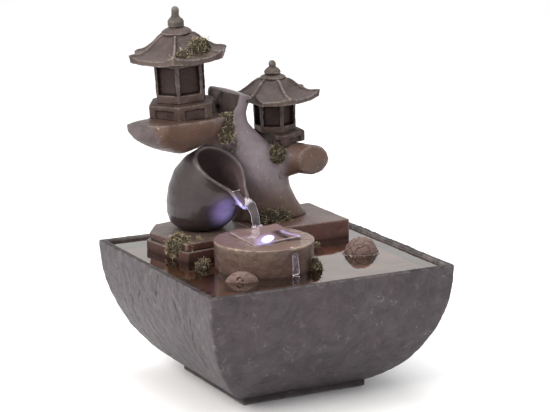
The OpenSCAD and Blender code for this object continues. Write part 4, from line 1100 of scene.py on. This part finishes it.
class FOUNTAIN_OT_pebbles(bpy.types.Operator):
    """Builds the two stones that stand in the water and the bright ring of water round one"""

    bl_idname = "fountain.pebbles"
    bl_label = "Pebbles"

    def execute(self, context):
        front = stone_mesh("front_pebble", "front_stone")
        notch = carve(front, [NOTCH], 0.55, 1.1)
        points = get_points(front)
        pits = np.clip(noise_at(points, 1.8, 12) - 0.4, 0, 1) * 1.6
        add_wear_and_glint(front, 8, 0.4)
        set_layer(front, "marks_and_shade", notch * 0.5 + pits + wet_line(points) * 0.7)
        add_piece("front_pebble", front, "bowl", "pebble_stone", ["front_stone"])
        right = stone_mesh("right_pebble", "right_stone")
        points = get_points(right)
        folds = np.clip(1 - np.abs(noise_at(points, 5.5, 6)) * 7, 0, 1)
        push(right, -0.5 * folds)
        add_wear_and_glint(right, 8, 0.4)
        set_layer(right, "marks_and_shade", folds * 0.45 + wet_line(points))
        add_piece("right_pebble", right, "bowl", "pebble_stone", ["right_stone"])
        ring = water_ring(points, sizes().water_level / MM)
        add_piece("water_ring", ring, "bowl", "clear_resin", finish="still_water_edge")
        return {"FINISHED"}


def scattered(mesh, density, draw):
    """Random places on a mesh, in mm, and the normals there."""
    mesh.calc_loop_triangles()
    corners = get_points(mesh)[[t.vertices[:] for t in mesh.loop_triangles]]
    a, b, c = corners[:, 0], corners[:, 1], corners[:, 2]
    cross = np.cross(b - a, c - a)
    double_area = np.linalg.norm(cross, axis=1)
    pick = np.repeat(np.arange(len(a)), draw.poisson(double_area / 2 * density))
    u, v = draw.random((2, len(pick)))
    u, v = np.where(u + v > 1, (1 - u, 1 - v), (u, v))
    places = a[pick] + (b - a)[pick] * u[:, None] + (c - a)[pick] * v[:, None]
    return places, cross[pick] / double_area[pick, None]


def unit(vectors):
    return vectors / np.maximum(np.linalg.norm(vectors, axis=1), 1e-9)[:, None]


def strands(places, away, reach, thick, rings, curl, draw):
    """Curled three-sided strands: their points in rows of rings, one row for each strand."""
    count = len(places)
    bend = draw.normal(0, curl, (count, 3))
    side = unit(np.cross(away, draw.normal(0, 1, (count, 3))))
    rows = []
    for j in range(rings):
        other = np.cross(away, side)
        for turn in (0, 2 * math.pi / 3, 4 * math.pi / 3):
            out = side * math.cos(turn) + other * math.sin(turn)
            rows.append(places + out * (thick * (1 - 0.5 * j / rings))[:, None])
        places = places + away * (reach / (rings - 1))[:, None]
        away = unit(away + bend + draw.normal(0, 0.22, (count, 3)))
        side = unit(side - away * (away * side).sum(1)[:, None])
    return np.stack(rows, 1)


def strand_faces(count, rings, start):
    """The faces of a number of strands whose points begin at start."""
    one = [(3 * j + i, 3 * j + (i + 1) % 3, 3 * j + 3 + (i + 1) % 3, 3 * j + 3 + i)
           for j in range(rings - 1) for i in range(3)]
    one += [(3 * rings - 3, 3 * rings - 2, 3 * rings - 1), (2, 1, 0)]
    return [tuple(start + 3 * rings * k + v for v in face) for k in range(count) for face in one]


def moss_fibres(name, sources, seed, trails):
    """Curled fibres over a dark ragged bed, which paints the shade deep in the cushion: on the cushion, and
    along trails on what it grows on.
    """
    draw = np.random.default_rng(seed)
    density = sizes().fibres_per_mm2
    shade_bed = remeshed(cad_copy(name, sources[0]), 0.6, 1)
    roughen(shade_bed, ((3.6, 1.5, seed), (1.6, 0.7, seed + 1)))
    push(shade_bed, np.full(len(shade_bed.vertices), -0.6))
    grown = [scattered(shade_bed, density, draw)]
    if trails:
        for source in sources[1:]:
            places, normals = scattered(frame["nodes"][source].data, density * STRAY_DENSITY, draw)
            near = line_distance(places, trails) < draw.gamma(2.0, 0.9, len(places))
            grown.append((places[near], normals[near]))
    places, normals = (np.concatenate(rows) for rows in zip(*grown))
    clump = noise_at(places, 3.2, seed)
    base_shade = 0.5 + 0.45 * noise_at(places, 5, seed + 2)
    curly = draw.random(len(places)) < CURLY_SHARE
    points, faces, shades, tips = [], [], [], []
    start = 0
    for chosen, (rings, scale, thick, curl, spread, lift) in zip((~curly, curly), FIBRES):
        spots, out, tuft = places[chosen], normals[chosen], clump[chosen]
        count = len(spots)
        away = unit(out + draw.normal(0, spread, (count, 3)) * 0.7)
        reach = sizes().fibre_length / MM * scale * draw.uniform(0.5, 1.1, count)
        reach *= 0.8 + 0.9 * np.clip(tuft, 0, 1)
        made = strands(spots - out * 0.4, away, reach, draw.uniform(*thick, count), rings, curl, draw)
        points.append(made.reshape(-1, 3))
        faces += strand_faces(count, rings, start)
        start += made.shape[0] * made.shape[1]
        shade = np.clip(base_shade[chosen] + lift + draw.normal(0, 0.18, count), 0, 1)
        shades.append(np.repeat(shade, 3 * rings))
        tips.append(np.tile(np.repeat(np.linspace(0, 1, rings), 3), count))
    whole = join_meshes(name, [make_mesh(name, np.concatenate(points), faces), shade_bed])
    count = len(shade_bed.vertices)
    # The bed's low values paint it dark, as the shade under the fibres
    set_layer(whole, "shade", np.concatenate([*shades, np.full(count, 0.2)]))
    set_layer(whole, "tip", np.concatenate([*tips, np.full(count, 0.1)]))
    return whole


class FOUNTAIN_OT_moss(bpy.types.Operator):
    """Grows the cushions of moss with their stragglers"""

    bl_idname = "fountain.moss"
    bl_label = "Moss"

    def execute(self, context):
        for seed, (body, sources, trails) in enumerate(MOSS, 11):
            name = sources[0] + "_fibres"
            mesh = moss_fibres(name, sources, seed, trails)
            add_piece(name, mesh, body, "moss", [sources[0]], smooth=False)
        return {"FINISHED"}


def pool_mesh():
    """The pool's surface, drawn up to the walls."""
    level = sizes().water_level / MM
    half = inner_half(level) - 0.1
    cells = 80
    row = cells + 1
    places = [half * math.sin(math.pi / 2 * (2 * i / cells - 1)) for i in range(row)]
    points = [(x, y, level + 0.5 * math.exp(-min(half - abs(x), half - abs(y)) / 0.8))
              for y in places for x in places]
    corners = [j * row + i for j in range(cells) for i in range(cells)]
    return make_mesh("pool", points, [(k, k + 1, k + row + 1, k + row) for k in corners])


def film(half, thin, strand, sharp, a):
    """A film of water's outline at an angle: thin in the middle, with a thicker strand at each edge."""
    return half * math.cos(a), (thin + strand * abs(math.cos(a)) ** sharp) * math.sin(a)


def stream_mesh():
    """Water that falls from the lip: a clear sheet between two thicker strands, and its splash."""
    tip = Vector(SPOUT_TIP)
    foot = Vector(STREAM_FOOT)
    path = smooth_path([*[tip + Vector(p) for p in STREAM_PATH], foot + Vector(STREAM_LANDING), foot], 6)
    wide = sizes().stream_half_width / MM

    def outline(t, a):
        swell = 0.12 * math.sin(math.pi * min(1, t * 1.7)) + 0.05 * math.sin(11 * t)
        u, v = film(wide * (0.9 + swell - 0.24 * t), 0.22, 0.62, 7, a)
        return u, v + 0.2 * math.sin(8 * t) * math.cos(a)

    parts = [sweep("stream", path, outline, ACROSS_STREAM, 28)]
    draw = random.Random(5)
    for i in range(9):
        a = draw.uniform(0, 2 * math.pi)
        r = draw.uniform(0.5, 1.0)
        place = foot + Vector((3.4 * math.cos(a), 2.2 * math.sin(a), draw.uniform(-0.2, 1.0)))
        drop = [place + Vector((0, 0, r * 0.6 * s)) for s in (-1, -0.7, 0, 0.7, 1)]
        parts.append(rod(f"drop_{i}", drop, lambda t: r * math.sqrt(max(0.02, 1 - (2 * t - 1) ** 2)),
                         (1, 0, 0)))
    return join_meshes("stream", parts)


class FOUNTAIN_OT_water(bpy.types.Operator):
    """Builds the pool, the stream from the jug and the trickle down the round stone"""

    bl_idname = "fountain.water"
    bl_label = "Water"

    def execute(self, context):
        add_piece("pool_water", pool_mesh(), "bowl", "clear_resin", finish="pool_water")
        stream = add_piece("poured_water", stream_mesh(), None, "clear_resin", finish="poured_water")
        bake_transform(stream)
        # Water that lies in the spout, and the bright line where it leaves the jug's wall
        tip = Vector(SPOUT_TIP)
        spout = sweep("spout", smooth_path([tip + Vector(p) for p in SPOUT_PATH], 5),
                      lambda t, a: ((4.6 - 1.9 * t) * math.cos(a), 0.7 * math.sin(a)), ACROSS_POUR, 20)
        add_piece("spout_water", spout, "sculpture", "clear_resin", finish="spout_water")
        middle = tip + Vector(WATER_LINE_MIDDLE)
        line = [middle + Vector(ACROSS_POUR) * 4.2 * k + Vector((0, 0, 0.5 * k * k))
                for k in (-1, -0.5, 0, 0.5, 1)]
        add_piece("water_line", rod("water_line", line, lambda t: 0.28), "sculpture", "clear_resin",
                  finish="poured_water")
        trickle = sweep("trickle", smooth_path(TRICKLE_PATH, 5),
                        lambda t, a: film(1.8 + 1.1 * t, 0.25, 0.6, 6, a), ACROSS_TRICKLE, 24)
        add_piece("trickle", trickle, "bowl", "clear_resin", finish="poured_water")
        return {"FINISHED"}


class FOUNTAIN_OT_fittings(bpy.types.Operator):
    """Gives the pump, the lamp, the deck and the other fittings their finishes"""

    bl_idname = "fountain.fittings"
    bl_label = "Fittings"

    def execute(self, context):
        slots = {part["node"]: part["material_slot"] for part in frame["record"]["subparts"]}
        for name in PLAIN_NODES:
            data = frame["nodes"][name].data
            data.materials.clear()
            data.materials.append(MATERIALS[slots[name]])
        return {"FINISHED"}


def add_light(name, place, aim, power, size, tone, cone=None):
    """A round soft lamp, or a spot lamp where a cone in degrees is given."""
    lamp = bpy.data.lights.new(name, "SPOT" if cone else "AREA")
    lamp.energy = power
    lamp.color = tone[:3]
    if cone:
        lamp.spot_size = math.radians(cone)
        lamp.spot_blend = 1.0
        lamp.shadow_soft_size = size
    else:
        lamp.shape = "DISK"
        lamp.size = size
    holder = bpy.data.objects.new(name, lamp)
    holder.visible_glossy = not cone
    bpy.context.scene.collection.objects.link(holder)
    holder.location = place
    holder.rotation_euler = (Vector(aim) - Vector(place)).to_track_quat("-Z", "Y").to_euler()


def add_camera():
    """The camera at the photograph's angle."""
    camera = bpy.data.objects.new("camera", bpy.data.cameras.new("camera"))
    bpy.context.scene.collection.objects.link(camera)
    camera.data.sensor_width = SENSOR_WIDTH
    camera.data.lens = CAMERA_LENS
    camera.data.clip_start = 0.05
    camera.data.clip_end = 60
    a, e, r = (math.radians(v) for v in (CAMERA_AZIMUTH, CAMERA_ELEVATION, CAMERA_ROLL))
    back = Vector((math.sin(a) * math.cos(e), -math.cos(a) * math.cos(e), math.sin(e)))
    right = Vector((math.cos(a), math.sin(a), 0))
    up = back.cross(right)
    across = right * math.cos(r) + up * math.sin(r)
    above = up * math.cos(r) - right * math.sin(r)
    turn = Matrix((across, above, back)).transposed().to_4x4()
    camera.matrix_world = Matrix.Translation(Vector(CAMERA_PLACE) * MM) @ turn
    bpy.context.scene.camera = camera


class FOUNTAIN_OT_stage(bpy.types.Operator):
    """Builds the pale floor, the soft lights and the camera"""

    bl_idname = "fountain.stage"
    bl_label = "Stage"

    def execute(self, context):
        scene = context.scene
        corners = [(x * FLOOR_HALF, y * FLOOR_HALF, 0) for x, y in ((-1, -1), (1, -1), (1, 1), (-1, 1))]
        floor = bpy.data.objects.new("floor", make_mesh("floor", corners, [(0, 1, 2, 3)]))
        scene.collection.objects.link(floor)
        material, add = blank_material("pale_floor")
        shader = add("ShaderNodeBsdfPrincipled", {"Base Color": (0.95, 0.95, 0.95, 1), "Roughness": 0.8})
        add("ShaderNodeOutputMaterial", {"Surface": shader})
        floor.data.materials.append(material)
        world = bpy.data.worlds.new("studio")
        world.use_nodes = True
        world.node_tree.nodes.clear()
        back = node(world.node_tree, "ShaderNodeBackground", {"Color": (1, 1, 1, 1), "Strength": ROOM_LIGHT})
        node(world.node_tree, "ShaderNodeOutputWorld", {"Surface": back})
        scene.world = world
        for name, place, aim, power, width, code in SOFT_LIGHTS:
            add_light(name, place, aim, power, width, linear(code))
        add_light("lamp_beam", Vector(BEAM_START) * MM, Vector(BEAM_END) * MM, BEAM_POWER, BEAM_RADIUS,
                  colour("glow"), BEAM_CONE)
        scene.view_settings.view_transform = "Standard"
        add_camera()
        return {"FINISHED"}


OPERATORS = (FOUNTAIN_OT_stage, FOUNTAIN_OT_bowl, FOUNTAIN_OT_slates, FOUNTAIN_OT_trunk, FOUNTAIN_OT_jug,
             FOUNTAIN_OT_lanterns, FOUNTAIN_OT_light_stone, FOUNTAIN_OT_pebbles, FOUNTAIN_OT_moss,
             FOUNTAIN_OT_water, FOUNTAIN_OT_fittings)


class FOUNTAIN_PT_panel(bpy.types.Panel):
    """Lists the sizes, the colours and the steps that build the fountain"""

    bl_label = "Tabletop fountain"
    bl_space_type = "VIEW_3D"
    bl_region_type = "UI"
    bl_category = "Fountain"

    def draw(self, context):
        for group in (context.scene.fountain_sizes, context.scene.fountain_colours):
            for name in group.__annotations__:
                self.layout.prop(group, name)
        for operator in OPERATORS:
            self.layout.operator(operator.bl_idname)


CLASSES = (FountainSizes, FountainColours, *OPERATORS, FOUNTAIN_PT_panel)


def register():
    for item in CLASSES:
        bpy.utils.register_class(item)
    bpy.types.Scene.fountain_sizes = PointerProperty(type=FountainSizes)
    bpy.types.Scene.fountain_colours = PointerProperty(type=FountainColours)


def unregister():
    del bpy.types.Scene.fountain_sizes
    del bpy.types.Scene.fountain_colours
    for item in reversed(CLASSES):
        bpy.utils.unregister_class(item)


def main():
    register()
    MATERIALS.update(material_set())
    for operator in OPERATORS:
        group, name = operator.bl_idname.split(".")
        getattr(getattr(bpy.ops, group), name)()


if __name__ == "__main__":
    main()
